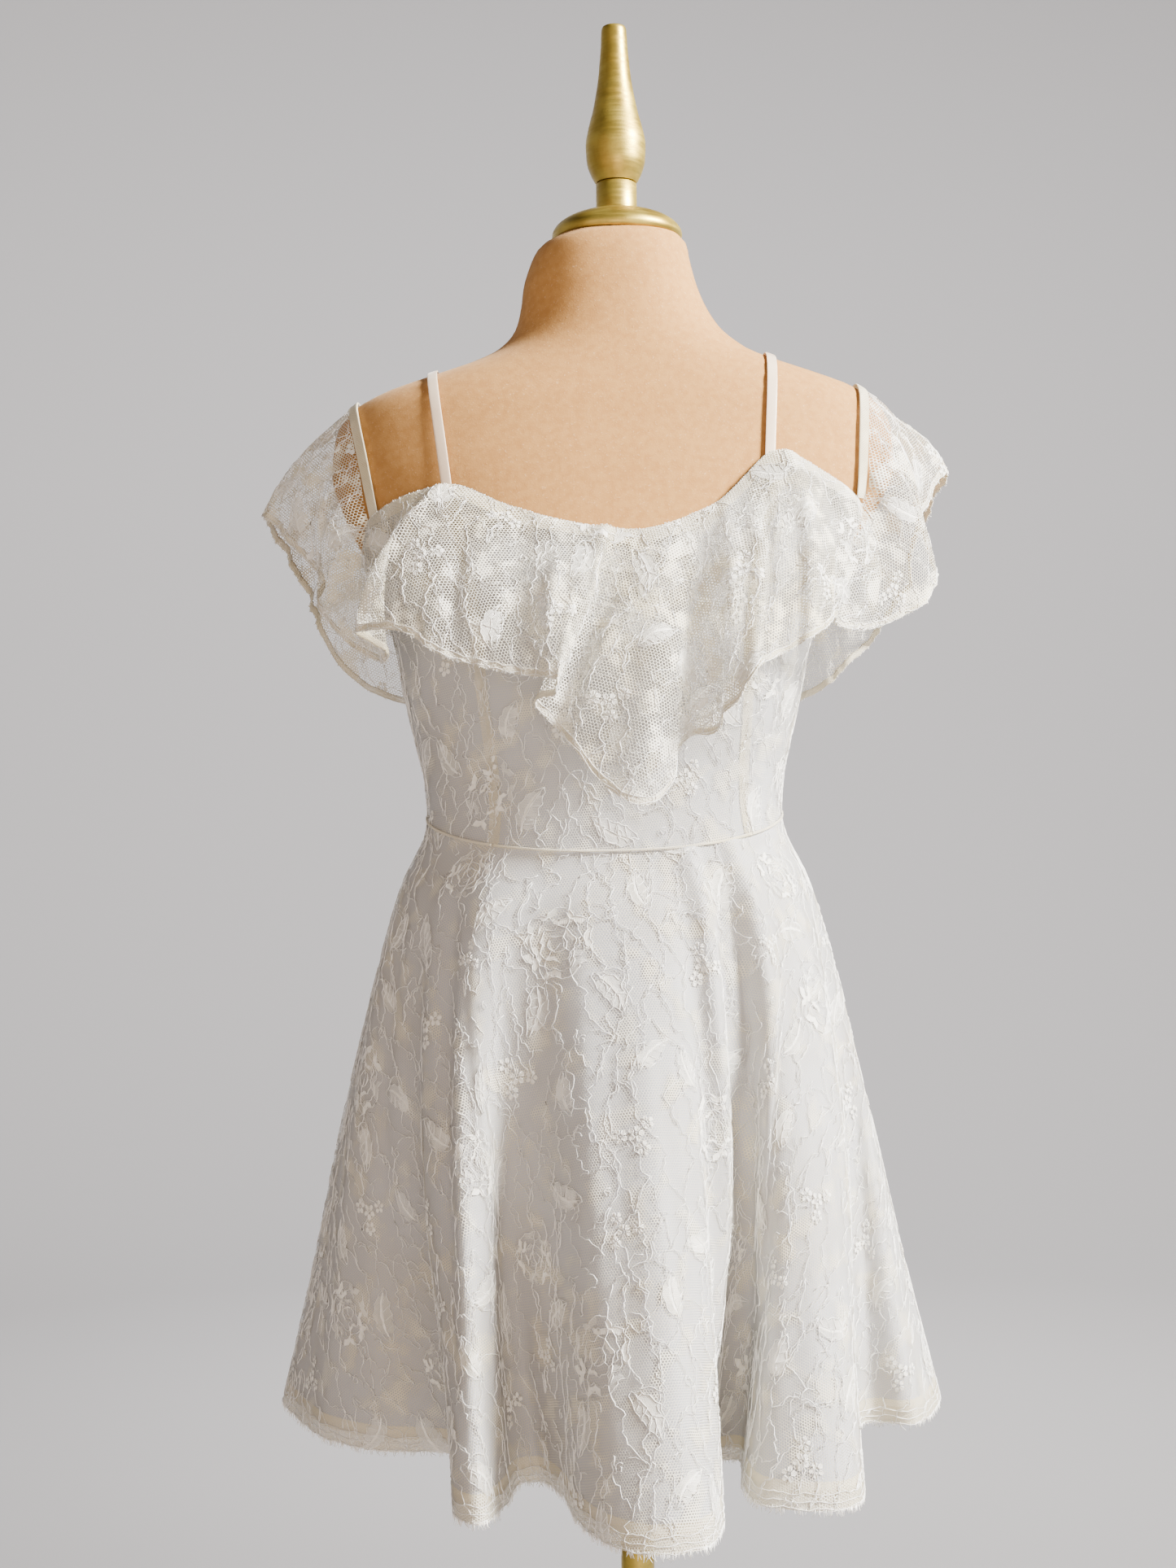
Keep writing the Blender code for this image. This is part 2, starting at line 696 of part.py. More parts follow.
def build_ribbons(ribbons, width, wall, finish, group):
    """Flat ribbons that lie on the form."""
    for ribbon in ribbons:
        path, facing = ribbon_path(ribbon)
        sides = ribbon_sides(path, facing, width)
        grid = np.stack(sides, axis=0) + RIBBON_CLEARANCE * facing
        sheet(ribbon.name, grid, wall, 1, finish, group)


def build_sliders(clear, group):
    """A strap slider on top of each strap."""
    for ribbon, step in ((STRAPS[0], 14), (STRAPS[1], 11)):
        path, facing = ribbon_path(ribbon)
        way = path[step + 1] - path[step - 1]
        way = way / np.linalg.norm(way)
        up = facing[step]
        across = np.cross(up, way)
        across = across / np.linalg.norm(across)
        lift = RIBBON_CLEARANCE + STRAP_WALL + 2 * SEAT + SLIDER_SIZE[2] / 2
        shape = bmesh.new()
        bmesh.ops.create_cube(shape, size=1)
        for vertex in shape.verts:
            x, y, z = (part * size for part, size in zip(vertex.co, SLIDER_SIZE))
            vertex.co = path[step] + lift * up + x * across + y * way + z * np.cross(across, way)
        name = ribbon.name.replace("strap", "strap_slider")
        mesh = bpy.data.meshes.new(name)
        shape.to_mesh(mesh)
        shape.free()
        add_object(name, mesh, clear, group)


def corner(left, behind):
    """The angle at which a shoulder band meets the bodice's upper edge."""
    if left:
        return BACK_CORNERS[0] if behind else FRONT_CORNERS[1]
    return BACK_CORNERS[1] if behind else FRONT_CORNERS[0]


def neckline_point(angle):
    """A point of the flounce's sewn edge on the bodice."""
    return on_form(upper_edge(angle) - 0.001, angle, FLOUNCE_OFF)


def shoulder_edge(band, left):
    """The flounce's sewn edge along a band's outer side, from the front corner to the back one."""
    path, facing = ribbon_path(band)
    sides = ribbon_sides(path, facing, BAND_WIDTH + 2 * SEAT + LACE_WALL)
    outer = max(sides, key=lambda side: abs(side[len(side) // 2, 0]))
    for end, beside in ((0, 1), (-1, -2)):
        way = outer[end] - outer[beside]
        below = outer[end] + way / np.linalg.norm(way) * RIBBON_LIFT
        outer = np.insert(outer, 0 if end == 0 else len(outer), below, axis=0)
        facing = np.insert(facing, 0 if end == 0 else len(facing), facing[end], axis=0)
    length = arc_length(outer)
    away = np.minimum(length, length[-1] - length)[:, None]
    out = np.interp(away, (0, CORNER_BLEND), (FLOUNCE_OFF, RIBBON_CLEARANCE + LACE_WALL / 2))
    corners = [neckline_point(np.array(corner(left, behind))) for behind in (False, True)]
    return np.concatenate([corners[:1], outer + out * facing, corners[1:]])


def sewn_edge(along, part):
    """Points of the flounce's sewn edge for values of along within one of its four parts."""
    edges = {1: shoulder_edge(BANDS[0], True), 3: shoulder_edge(BANDS[1], False)[::-1]}
    share = along - part
    if part in edges:
        length = arc_length(edges[part])
        at = share * length[-1]
        return np.stack([np.interp(at, length, edges[part][:, k]) for k in range(3)], axis=1)
    start, end = FRONT_CORNERS if part == 0 else BACK_CORNERS
    return neckline_point(start + (end - start) * share)


def build_flounce(lace, group):
    """The flounce in four lengths, with folds that open from its sewn edge to its hem."""
    curve, place = closed_spline([(rib.x / 1000, rib.y / 1000, rib.z / 1000) for rib in FLOUNCE_RIBS])
    along = np.interp(place, np.arange(len(FLOUNCE_RIBS) + 1), [rib.along for rib in FLOUNCE_RIBS] + [4.0])
    share = (np.linspace(0, 1, FLOUNCE_ROWS + 1) ** 1.15)[:, None]
    for name, start, end, columns in FLOUNCE_PARTS:
        chosen = (along >= start) & (along <= end)
        dense = [curve[chosen], TOP_SHARE * sewn_edge(along[chosen], int(start)), along[chosen, None]]
        ribs = evenly(np.concatenate(dense, axis=1), columns)
        hem, top, values = ribs[:, :3], ribs[:, 3:6] / TOP_SHARE, ribs[:, 6]
        grid = top + (hem - top) * share[..., None]
        outward = grid - np.array([SKIRT_RINGS[0].middle_x, 0, 0])
        outward[..., 2] = 0
        outward /= np.linalg.norm(outward, axis=-1, keepdims=True)
        grid = grid + FLOUNCE_BULGE * np.sin(math.pi * share[..., None]) * outward
        over = np.clip(np.minimum(values - start, end - values) * 4, 0, 1) * ("shoulder" in name)
        least = FLOUNCE_OFF + (SHOULDER_CLEARANCE - FLOUNCE_OFF) * over
        grid[1:] = clear_of_form(grid[1:], least + FLOUNCE_EASE * np.minimum(share[1:] * 4, 1))
        sheet(name, trim_ends(grid, FLOUNCE_SEAM), LACE_WALL, 0, lace, group)


def main():
    """Clears the scene and builds the stand, the form and the dress."""
    for old in list(bpy.data.objects):
        bpy.data.objects.remove(old)
    group = bpy.data.collections.new("lace_dress_on_form")
    bpy.context.scene.collection.children.link(group)
    gold = material("gold_paint", (0.42, 0.30, 0.06), 0.35, 0.85)
    jersey = material("beige_jersey", (0.72, 0.48, 0.29), 0.9)
    lace = material("ivory_lace", (0.86, 0.85, 0.78), 0.75)
    lining = material("white_lining", (0.82, 0.82, 0.82), 0.6)
    satin = material("ivory_satin", (0.86, 0.79, 0.70), 0.4)
    clear = material("clear_plastic", (0.78, 0.74, 0.66), 0.2)
    build_stand(gold, group)
    build_neck_wood(gold, group)
    build_form(jersey, group)
    build_bodice(lace, lining, group)
    build_skirt(lace, lining, group)
    build_ribbons(BANDS, BAND_WIDTH, BAND_WALL, lace, group)
    build_ribbons(STRAPS, STRAP_WIDTH, STRAP_WALL, satin, group)
    build_sliders(clear, group)
    build_flounce(lace, group)


main()
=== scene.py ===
"""The looks of a short corded-lace dress on a limbless dress form with a turned stand.

Metres, +Z up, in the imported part's frame: the origin is the centre of the base's underside and
the dress faces -Y. Left and right are the wearer's, so the wearer's left is +X.
"""

import logging
import math
from dataclasses import dataclass, field
from enum import Enum
from typing import Callable, Iterable, NamedTuple, Union

import bpy
import numpy as np
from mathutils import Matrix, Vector
from mathutils.bvhtree import BVHTree


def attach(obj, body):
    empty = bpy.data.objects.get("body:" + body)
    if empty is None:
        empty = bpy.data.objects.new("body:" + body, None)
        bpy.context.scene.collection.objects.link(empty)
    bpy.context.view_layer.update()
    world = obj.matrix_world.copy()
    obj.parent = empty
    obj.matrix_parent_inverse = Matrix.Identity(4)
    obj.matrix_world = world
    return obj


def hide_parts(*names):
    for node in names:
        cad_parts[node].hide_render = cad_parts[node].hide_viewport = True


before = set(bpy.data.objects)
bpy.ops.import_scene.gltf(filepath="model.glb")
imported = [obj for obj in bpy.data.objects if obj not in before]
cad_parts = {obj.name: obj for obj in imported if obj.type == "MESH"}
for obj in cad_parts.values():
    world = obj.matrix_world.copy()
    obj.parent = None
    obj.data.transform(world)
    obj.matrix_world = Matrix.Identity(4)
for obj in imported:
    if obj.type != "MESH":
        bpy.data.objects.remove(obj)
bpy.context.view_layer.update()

LOG = logging.getLogger("lace_dress")
BODY = "root"
CUT_MAP = "Cut"
MM = 0.001

Array = np.ndarray
Colour = tuple[float, float, float]
Pair = tuple[float, float]

# Cloth layers, outward from the form
FORM_CLEARANCE = 0.0017
LINING_WALL = 0.0010
LACE_WALL = 0.0010
LAYER_GAP = 0.0005
SEAT = 0.0003
LINING_OUT = FORM_CLEARANCE + LINING_WALL
LACE_OUT = LINING_OUT + LAYER_GAP
FLOUNCE_OFF = LACE_OUT + LACE_WALL + SEAT + 0.5 * LACE_WALL
RIBBON_CLEARANCE = 0.0018

# Form and stand
FORM_BOTTOM = 0.840
NECK_TOP = 1.4985
RING_POWER = 2.3
CLEAR_BELOW = 0.03
LEAST_REACH = 0.3

# Seams and hems of the dress
WAIST_SIDE = 1.078
WAIST_FRONT_DROP = 0.0235
WAIST_POWER = 1.1
WAIST_TILT = 0.0008
HEM_HEIGHT = 0.633
LINING_RISE = 0.009
SKIRT_CLEARANCE = 0.0065
SIDE_SEAM = -86.25
FLUTE_OUT_POWER = 1.1
FLUTE_IN_POWER = 1.8
FLOUNCE_BULGE = 0.010
FLOUNCE_EASE = 0.004
TOP_SHARE = 1.6
FRONT_CORNERS = (math.radians(-59.5), math.radians(61.5))
BACK_CORNERS = (math.radians(118), math.radians(237))
CORNER_BLEND = 0.030
SHOULDER_CLEARANCE = 0.0024

# Ribbons over the shoulders
STRAP_WIDTH = 0.0075
STRAP_WALL = 0.0010
BAND_WIDTH = 0.0085
BAND_WALL = 0.0016
RIBBON_STEPS = 22
RIBBON_LIFT = 0.003
STRAP_LIFT = 0.0012

# Seeds of the lace's small irregularities
DESIGN_SEED = 11
CORD_SEED = 5
EDGING_SEED = 3
FRINGE_SEED = 8


def table(kind: type, *rows: tuple) -> tuple:
    """The rows, each as a named tuple of a kind."""
    return tuple(kind(*row) for row in rows)


class Ring(NamedTuple):
    """A level section: height, half width, depth before and behind the middle, and middle x."""

    height: float
    half_width: float
    front: float
    back: float
    middle_x: float


FORM_RINGS = table(
    Ring,
    (0.84, 0.138, 0.094, 0.106, -0.016), (0.862, 0.153, 0.106, 0.12, -0.016),
    (0.9, 0.157, 0.11, 0.124, -0.016), (0.95, 0.153, 0.106, 0.12, -0.016),
    (1.0, 0.144, 0.1, 0.11, -0.016), (1.04, 0.133, 0.096, 0.1, -0.016),
    (1.08, 0.1262, 0.0955, 0.093, -0.016), (1.105, 0.1282, 0.098, 0.092, -0.016),
    (1.135, 0.1348, 0.107, 0.096, -0.016), (1.165, 0.1415, 0.118, 0.101, -0.016),
    (1.2, 0.148, 0.1252, 0.106, -0.015), (1.235, 0.16, 0.1215, 0.11, -0.014),
    (1.27, 0.178, 0.11, 0.111, -0.012), (1.3, 0.196, 0.101, 0.11, -0.008),
    (1.33, 0.206, 0.092, 0.106, -0.006), (1.355, 0.204, 0.084, 0.101, -0.005),
    (1.372, 0.1955, 0.079, 0.097, -0.004), (1.385, 0.177, 0.074, 0.093, -0.002),
    (1.397, 0.144, 0.0695, 0.088, 0.0), (1.407, 0.113, 0.066, 0.083, 0.001),
    (1.416, 0.093, 0.063, 0.078, 0.001), (1.432, 0.0756, 0.059, 0.071, -0.001),
    (1.45, 0.0675, 0.056, 0.065, -0.004), (1.468, 0.0627, 0.0545, 0.061, -0.006),
    (1.485, 0.0575, 0.0525, 0.057, -0.005), (1.4925, 0.0545, 0.05, 0.054, -0.003),
    (1.4985, 0.047, 0.046, 0.047, 0.0),
)
SKIRT_RINGS = table(
    Ring,
    (0.633, 0.236, 0.185, 0.222, -0.016), (0.73, 0.216, 0.166, 0.198, -0.016),
    (0.838, 0.196, 0.147, 0.172, -0.016), (0.91, 0.1805, 0.132, 0.152, -0.016),
    (0.982, 0.163, 0.118, 0.132, -0.016), (1.018, 0.1525, 0.11, 0.121, -0.016),
    (1.054, 0.1385, 0.1005, 0.108, -0.016), (1.08, 0.1283, 0.0976, 0.0951, -0.016),
)


class EdgePoint(NamedTuple):
    """A point of the bodice's upper edge: degrees from the front towards the left, and height."""

    degrees: float
    height: float


UPPER_EDGE = table(
    EdgePoint,
    (-180, 1.285), (-120, 1.29), (-101, 1.266), (-80, 1.266), (-59, 1.291), (-30.5, 1.308),
    (-18.6, 1.292), (-5.7, 1.278), (4.5, 1.272), (18, 1.289), (29.5, 1.329), (44, 1.315), (63, 1.296),
    (82, 1.268), (101, 1.266), (118, 1.29), (180, 1.285),
)


class BodicePiece(NamedTuple):
    """A bodice panel: the angles of its seams at the waist and at the upper edge, in degrees."""

    name: str
    waist_start: float
    waist_end: float
    top_start: float
    top_end: float
    columns: int


BODICE_PIECES = (
    BodicePiece("bodice_side_front_right", -86.25, -33.75, -86.25, -30.5, 44),
    BodicePiece("bodice_centre_front", -33.75, 48.75, -30.5, 29.5, 66),
    BodicePiece("bodice_side_front_left", 48.75, 93.75, 29.5, 93.75, 52),
    BodicePiece("bodice_back_left", 93.75, 183.75, 93.75, 183.75, 60),
    BodicePiece("bodice_back_right", 183.75, 273.75, 183.75, 273.75, 60),
)


class HemPoint(NamedTuple):
    """A point of the skirt's hem from above, in millimetres from the torso's middle."""

    x: float
    y: float


FRONT_HEM = table(
    HemPoint,
    (-237, 14), (-207, -38), (-169, -65), (-116, -74), (-97, -92), (-104, -150), (-103, -194),
    (-87, -207), (-73, -175), (-64, -136), (-50, -133), (-35, -160), (-24, -208), (-5, -244),
    (16, -260), (40, -258), (58, -244), (64, -205), (62, -150), (68, -100), (84, -96), (84, -150),
    (92, -180), (124, -193), (150, -189), (161, -165), (163, -105), (168, -48), (186, -22), (216, -28),
    (236, 0),
)
BACK_HEM = table(
    HemPoint,
    (248, 62), (226, 108), (174, 98), (146, 120), (168, 186), (138, 222), (88, 190), (52, 158),
    (32, 208), (14, 250), (-26, 252), (-44, 206), (-66, 160), (-102, 182), (-146, 222), (-178, 186),
    (-156, 118), (-184, 92), (-232, 100), (-252, 58),
)


class Rib(NamedTuple):
    """A point of the flounce's hem in millimetres, and how far along the sewn edge it hangs."""

    along: float
    x: float
    y: float
    z: float


FLOUNCE_RIBS = table(
    Rib,
    (0.0, -170, -72, 1187), (0.1, -166, -92, 1190), (0.17, -180, -106, 1203), (0.21, -168, -128, 1206),
    (0.24, -150, -140, 1203), (0.28, -128, -151, 1189), (0.33, -100, -157, 1179),
    (0.4, -70, -164, 1172), (0.47, -46, -178, 1167), (0.49, -52, -162, 1160), (0.505, -62, -148, 1153),
    (0.52, -50, -149, 1139), (0.535, -37, -155, 1124), (0.55, -17, -164, 1099), (0.57, 8, -168, 1085),
    (0.595, 26, -160, 1096), (0.62, 40, -147, 1130), (0.64, 55, -152, 1132), (0.665, 68, -168, 1150),
    (0.695, 85, -172, 1174), (0.725, 104, -158, 1184), (0.79, 130, -143, 1200), (0.85, 142, -118, 1210),
    (0.92, 150, -92, 1205), (1.0, 172, -74, 1205), (1.1, 204, -62, 1219), (1.2, 224, -46, 1238),
    (1.31, 218, -26, 1274), (1.4, 222, -10, 1299), (1.52, 243, 10, 1327), (1.64, 240, 34, 1314),
    (1.76, 226, 50, 1282), (1.87, 222, 62, 1248), (2.0, 206, 84, 1222), (2.06, 196, 106, 1206),
    (2.12, 180, 104, 1190), (2.2, 152, 116, 1168), (2.28, 122, 144, 1160), (2.36, 96, 124, 1166),
    (2.44, 68, 152, 1155), (2.5, 38, 128, 1160), (2.56, 8, 156, 1150), (2.62, -22, 130, 1156),
    (2.68, -52, 154, 1152), (2.74, -82, 126, 1160), (2.8, -112, 146, 1156), (2.87, -142, 122, 1164),
    (2.93, -176, 116, 1167), (2.97, -213, 108, 1186), (3.0, -238, 90, 1226), (3.15, -240, 62, 1246),
    (3.35, -256, 34, 1280), (3.52, -265, 4, 1303), (3.68, -244, -18, 1280), (3.78, -218, -30, 1252),
    (3.88, -216, -48, 1226), (3.95, -192, -60, 1198),
)


class FlouncePiece(NamedTuple):
    """A length of the flounce: where it starts and ends along the sewn edge, and its columns."""

    name: str
    start: int
    end: int
    columns: int


FLOUNCE_PIECES = (
    FlouncePiece("flounce_front", 0, 1, 260),
    FlouncePiece("flounce_left_shoulder", 1, 2, 110),
    FlouncePiece("flounce_back", 2, 3, 220),
    FlouncePiece("flounce_right_shoulder", 3, 4, 110),
)


class Ribbon(NamedTuple):
    """A ribbon over a shoulder: x at its front end, at the top and at its back end."""

    name: str
    front_x: float
    top_x: float
    back_x: float


STRAPS = (
    Ribbon("strap_left", 0.102, 0.108, 0.098),
    Ribbon("strap_right", -0.122, -0.135, -0.112),
)
BANDS = (
    Ribbon("shoulder_band_left", 0.168, 0.174, 0.164),
    Ribbon("shoulder_band_right", -0.176, -0.193, -0.172),
)


def cubic(start: Array, end: Array, reach: Array, first: Array, last: Array, t: Array) -> Array:
    """A cubic between two values, t of the way along a reach, with its slopes at both ends."""
    return (
        start * (1 + 2 * t) * (1 - t) ** 2
        + end * (3 - 2 * t) * t**2
        + reach * (first * t * (1 - t) ** 2 - last * t**2 * (1 - t))
    )


def monotone(xs: Iterable[float], ys: Iterable[float], x: Array) -> Array:
    """Read a smooth curve that never swings past its points.

    Args:
        xs: The points' places, rising.
        ys: The points' values.
        x: Where to read the curve.

    Returns:
        The curve's values at x.
    """
    xs, ys = np.asarray(xs, float), np.asarray(ys, float)
    step = np.diff(xs)
    rise = np.diff(ys) / step
    slope = np.zeros_like(ys)
    same = rise[:-1] * rise[1:] > 0
    slope[1:-1][same] = 2 * rise[:-1][same] * rise[1:][same] / (rise[:-1] + rise[1:])[same]
    slope[0], slope[-1] = rise[0], rise[-1]
    x = np.clip(x, xs[0], xs[-1])
    i = np.clip(np.searchsorted(xs, x) - 1, 0, len(step) - 1)
    t = (x - xs[i]) / step[i]
    return cubic(ys[i], ys[i + 1], step[i], slope[i], slope[i + 1], t)


def unit(vectors: Array) -> Array:
    """The vectors, each made one long."""
    return vectors / np.maximum(np.linalg.norm(vectors, axis=-1, keepdims=True), 1e-12)


def smooth_step(value: Array) -> Array:
    """0 below 0, 1 above 1 and a soft rise between."""
    value = np.clip(value, 0, 1)
    return value * value * (3 - 2 * value)


def signed_power(value: Array, power: float) -> Array:
    """A power of the value's size, with the value's sign."""
    return np.sign(value) * np.abs(value) ** power


def toward(angle: Union[float, Array]) -> Array:
    """The flat unit vectors at angles."""
    return np.stack([np.cos(angle), np.sin(angle)], axis=-1)


def flat_cross(first: Array, second: Array) -> Array:
    """The signed areas between pairs of flat vectors."""
    return first[:, 0] * second[:, 1] - first[:, 1] * second[:, 0]


def rows_between(grid: Array, rows: Array) -> Array:
    """A grid's points at fractional rows, given for each column."""
    low = np.clip(np.floor(rows).astype(int), 0, len(grid) - 2)
    part = (rows - low)[..., None]
    columns = np.arange(grid.shape[1])
    return grid[low, columns] * (1 - part) + grid[low + 1, columns] * part


def arc_length(curve: Array) -> Array:
    """The length of a curve up to each of its points."""
    return np.concatenate([[0], np.cumsum(np.linalg.norm(np.diff(curve, axis=0), axis=1))])


def read_at(curve: Array, length: Array, at: Array) -> Array:
    """The curve's points at the given lengths along it."""
    return np.stack([np.interp(at, length, curve[:, k]) for k in range(curve.shape[1])], axis=1)


def evenly(curve: Array, count: int) -> Array:
    """The curve at count + 1 points evenly spaced along it."""
    length = arc_length(curve)
    return read_at(curve, length, np.linspace(0, length[-1], count + 1))


def spaced(curve: Array, step: float) -> Array:
    """The curve at points about a step apart."""
    return evenly(curve, max(2, round(arc_length(curve)[-1] / step)))


def closed_spline(points: Array, per_span: int = 24) -> tuple[Array, Array]:
    """Draw a smooth closed curve through points.

    Args:
        points: The points, in order round the curve.
        per_span: How many steps each span gets.

    Returns:
        The curve's points and each one's place in the list of points.
    """
    points = np.asarray(points, float)
    count = len(points)
    chord = np.linalg.norm(np.roll(points, -1, axis=0) - points, axis=1) ** 0.5
    before = np.roll(chord, 1)[:, None]
    after = chord[:, None]
    slope = (
        (points - np.roll(points, 1, axis=0)) / before * after
        + (np.roll(points, -1, axis=0) - points) / after * before
    ) / (before + after)
    curve, place = [], []
    for i in range(count):
        j = (i + 1) % count
        t = np.linspace(0, 1, per_span, endpoint=False)[:, None]
        curve.append(cubic(points[i], points[j], chord[i], slope[i], slope[j], t))
        place.append(i + t[:, 0])
    curve.append(points[:1])
    place.append(np.array([float(count)]))
    return np.concatenate(curve), np.concatenate(place)


def grid_normals(grid: Array) -> Array:
    """Outward unit normals of a grid whose columns run round and whose rows run down."""
    return unit(np.cross(np.gradient(grid, axis=0), np.gradient(grid, axis=1)))


@dataclass(frozen=True)
class Loft:
    """A body lofted through level sections with flattened round sides."""

    rings: tuple[Ring, ...]

    def sizes(self, height: Array) -> list[Array]:
        """Half width, front depth, back depth and middle x at each height."""
        heights = [ring.height for ring in self.rings]
        return [
            monotone(heights, [getattr(ring, name) for ring in self.rings], height)
            for name in ("half_width", "front", "back", "middle_x")
        ]

    def point(self, height: Array, angle: Array) -> Array:
        """Points on the surface at heights and angles."""
        half, front, back, middle = self.sizes(height)
        across = signed_power(np.sin(angle), 2 / RING_POWER)
        ahead = signed_power(np.cos(angle), 2 / RING_POWER)
        depth = np.where(ahead > 0, front, back)
        return np.stack([middle + half * across, -depth * ahead, height + 0 * across], axis=-1)

    def normal(self, height: Array, angle: Array) -> Array:
        """Outward unit normals at heights and angles."""
        turn, lift = 0.01, 0.001
        along = self.point(height, angle + turn) - self.point(height, angle - turn)
        up = self.point(height + lift, angle) - self.point(height - lift, angle)
        return unit(np.cross(along, up))

    def out(self, height: Array, angle: Array, distance: Union[float, Array]) -> Array:
        """Points at a distance out from the surface."""
        return self.point(height, angle) + distance * self.normal(height, angle)

    def clear(self, points: Array, distance: Union[float, Array]) -> Array:
        """Move points that lie nearer than a distance straight away from the middle.

        Args:
            points: The points to keep clear of the surface.
            distance: The least distance that they keep.

        Returns:
            The points, with the near ones moved.
        """
        half, front, back, middle = self.sizes(points[..., 2])
        x, y = points[..., 0] - middle, points[..., 1]
        depth = np.where(y < 0, front, back)
        wide, deep = np.abs(x / (half + distance)), np.abs(y / (depth + distance))
        reach = (wide**RING_POWER + deep**RING_POWER) ** (1 / RING_POWER)
        near = (reach < 1) & (points[..., 2] > FORM_BOTTOM - CLEAR_BELOW)
        push = np.where(near, 1 / np.maximum(reach, LEAST_REACH), 1)
        moved = points.copy()
        moved[..., 0] = middle + x * push
        moved[..., 1] = y * push
        return moved


FORM = Loft(FORM_RINGS)
SKIRT = Loft(SKIRT_RINGS)


def waist_height(angle: Array) -> Array:
    """The waist seam's height, lowest at the front."""
    return WAIST_SIDE - WAIST_FRONT_DROP * np.maximum(np.cos(angle), 0) ** WAIST_POWER


def upper_edge(angle: Array) -> Array:
    """The height of the bodice's upper edge."""
    degrees = (np.degrees(angle) + 180) % 360 - 180
    return monotone([p.degrees for p in UPPER_EDGE], [p.height for p in UPPER_EDGE], degrees)


def unroll(grid: Array) -> tuple[Array, Array]:
    """Lay a cloth grid flat, column by column, with the lengths of its edges and ribs kept.

    Args:
        grid: The cloth's points, rows down and columns round.

    Returns:
        The flat points, with the middle column upright, and each point's distance down its rib.
    """
    down = np.concatenate(
        [np.zeros((1, grid.shape[1])), np.cumsum(np.linalg.norm(np.diff(grid, axis=0), axis=-1), axis=0)]
    )
    rib = unit(grid[-1] - grid[0])
    steps = {row: grid[row, 1:] - grid[row, :-1] for row in (0, -1)}
    middle_rib = unit(rib[1:] + rib[:-1])
    slip = np.sum(steps[0] * middle_rib, axis=1)
    wide = {
        row: np.linalg.norm(step - np.sum(step * middle_rib, axis=1)[:, None] * middle_rib, axis=1)
        for row, step in steps.items()
    }
    turn = (wide[-1] - wide[0]) / ((down[-1, 1:] + down[-1, :-1]) / 2)
    angle = np.concatenate([[0], np.cumsum(turn)])
    angle -= angle[len(angle) // 2]
    between = (angle[1:] + angle[:-1]) / 2
    moves = np.stack(
        [
            wide[0] * np.cos(between) + slip * np.sin(between),
            wide[0] * np.sin(between) - slip * np.cos(between),
        ],
        axis=1,
    )
    top = np.concatenate([np.zeros((1, 2)), np.cumsum(moves, axis=0)])
    top -= top[len(top) // 2]
    fall = np.stack([np.sin(angle), -np.cos(angle)], axis=1)
    return top[None] + down[..., None] * fall[None], down


Value = Union["Wire", float, tuple]
Key = Union[int, str]


@dataclass(frozen=True)
class Wire:
    """A shader value. Operators on it add Math nodes to its graph."""

    graph: "Graph"
    socket: bpy.types.NodeSocket

    def _math(self, operation: str, *values: Value) -> "Wire":
        """A Math node's result for the values."""
        return self.graph.node("ShaderNodeMath", {"operation": operation}, dict(enumerate(values)))

    def __add__(self, other: Value) -> "Wire":
        """The sum with another value."""
        return self._math("ADD", self, other)

    def __radd__(self, other: Value) -> "Wire":
        """Another value's sum with this one."""
        return self._math("ADD", other, self)

    def __sub__(self, other: Value) -> "Wire":
        """This value less another."""
        return self._math("SUBTRACT", self, other)

    def __rsub__(self, other: Value) -> "Wire":
        """Another value less this one."""
        return self._math("SUBTRACT", other, self)

    def __mul__(self, other: Value) -> "Wire":
        """The product with another value."""
        return self._math("MULTIPLY", self, other)

    def __truediv__(self, other: Value) -> "Wire":
        """This value divided by another."""
        return self._math("DIVIDE", self, other)

    def __mod__(self, other: Value) -> "Wire":
        """What is left of this value after whole steps of another."""
        return self._math("FLOORED_MODULO", self, other)

    def __lt__(self, other: Value) -> "Wire":
        """1 where this value is less than another, or else 0."""
        return self._math("LESS_THAN", self, other)

    def __abs__(self) -> "Wire":
        """This value without its sign."""
        return self._math("ABSOLUTE", self)

    def sine(self) -> "Wire":
        """The sine of this value."""
        return self._math("SINE", self)

    def larger(self, other: Value) -> "Wire":
        """The larger of this value and another."""
        return self._math("MAXIMUM", self, other)

    def ramp(self, low: Value, high: Value, start: float = 0.0, end: float = 1.0) -> "Wire":
        """A soft rise from start to end as this value goes from low to high."""
        inputs = {"Value": self, "From Min": low, "From Max": high, "To Min": start, "To Max": end}
        return self.graph.node("ShaderNodeMapRange", {"interpolation_type": "SMOOTHSTEP"}, inputs)


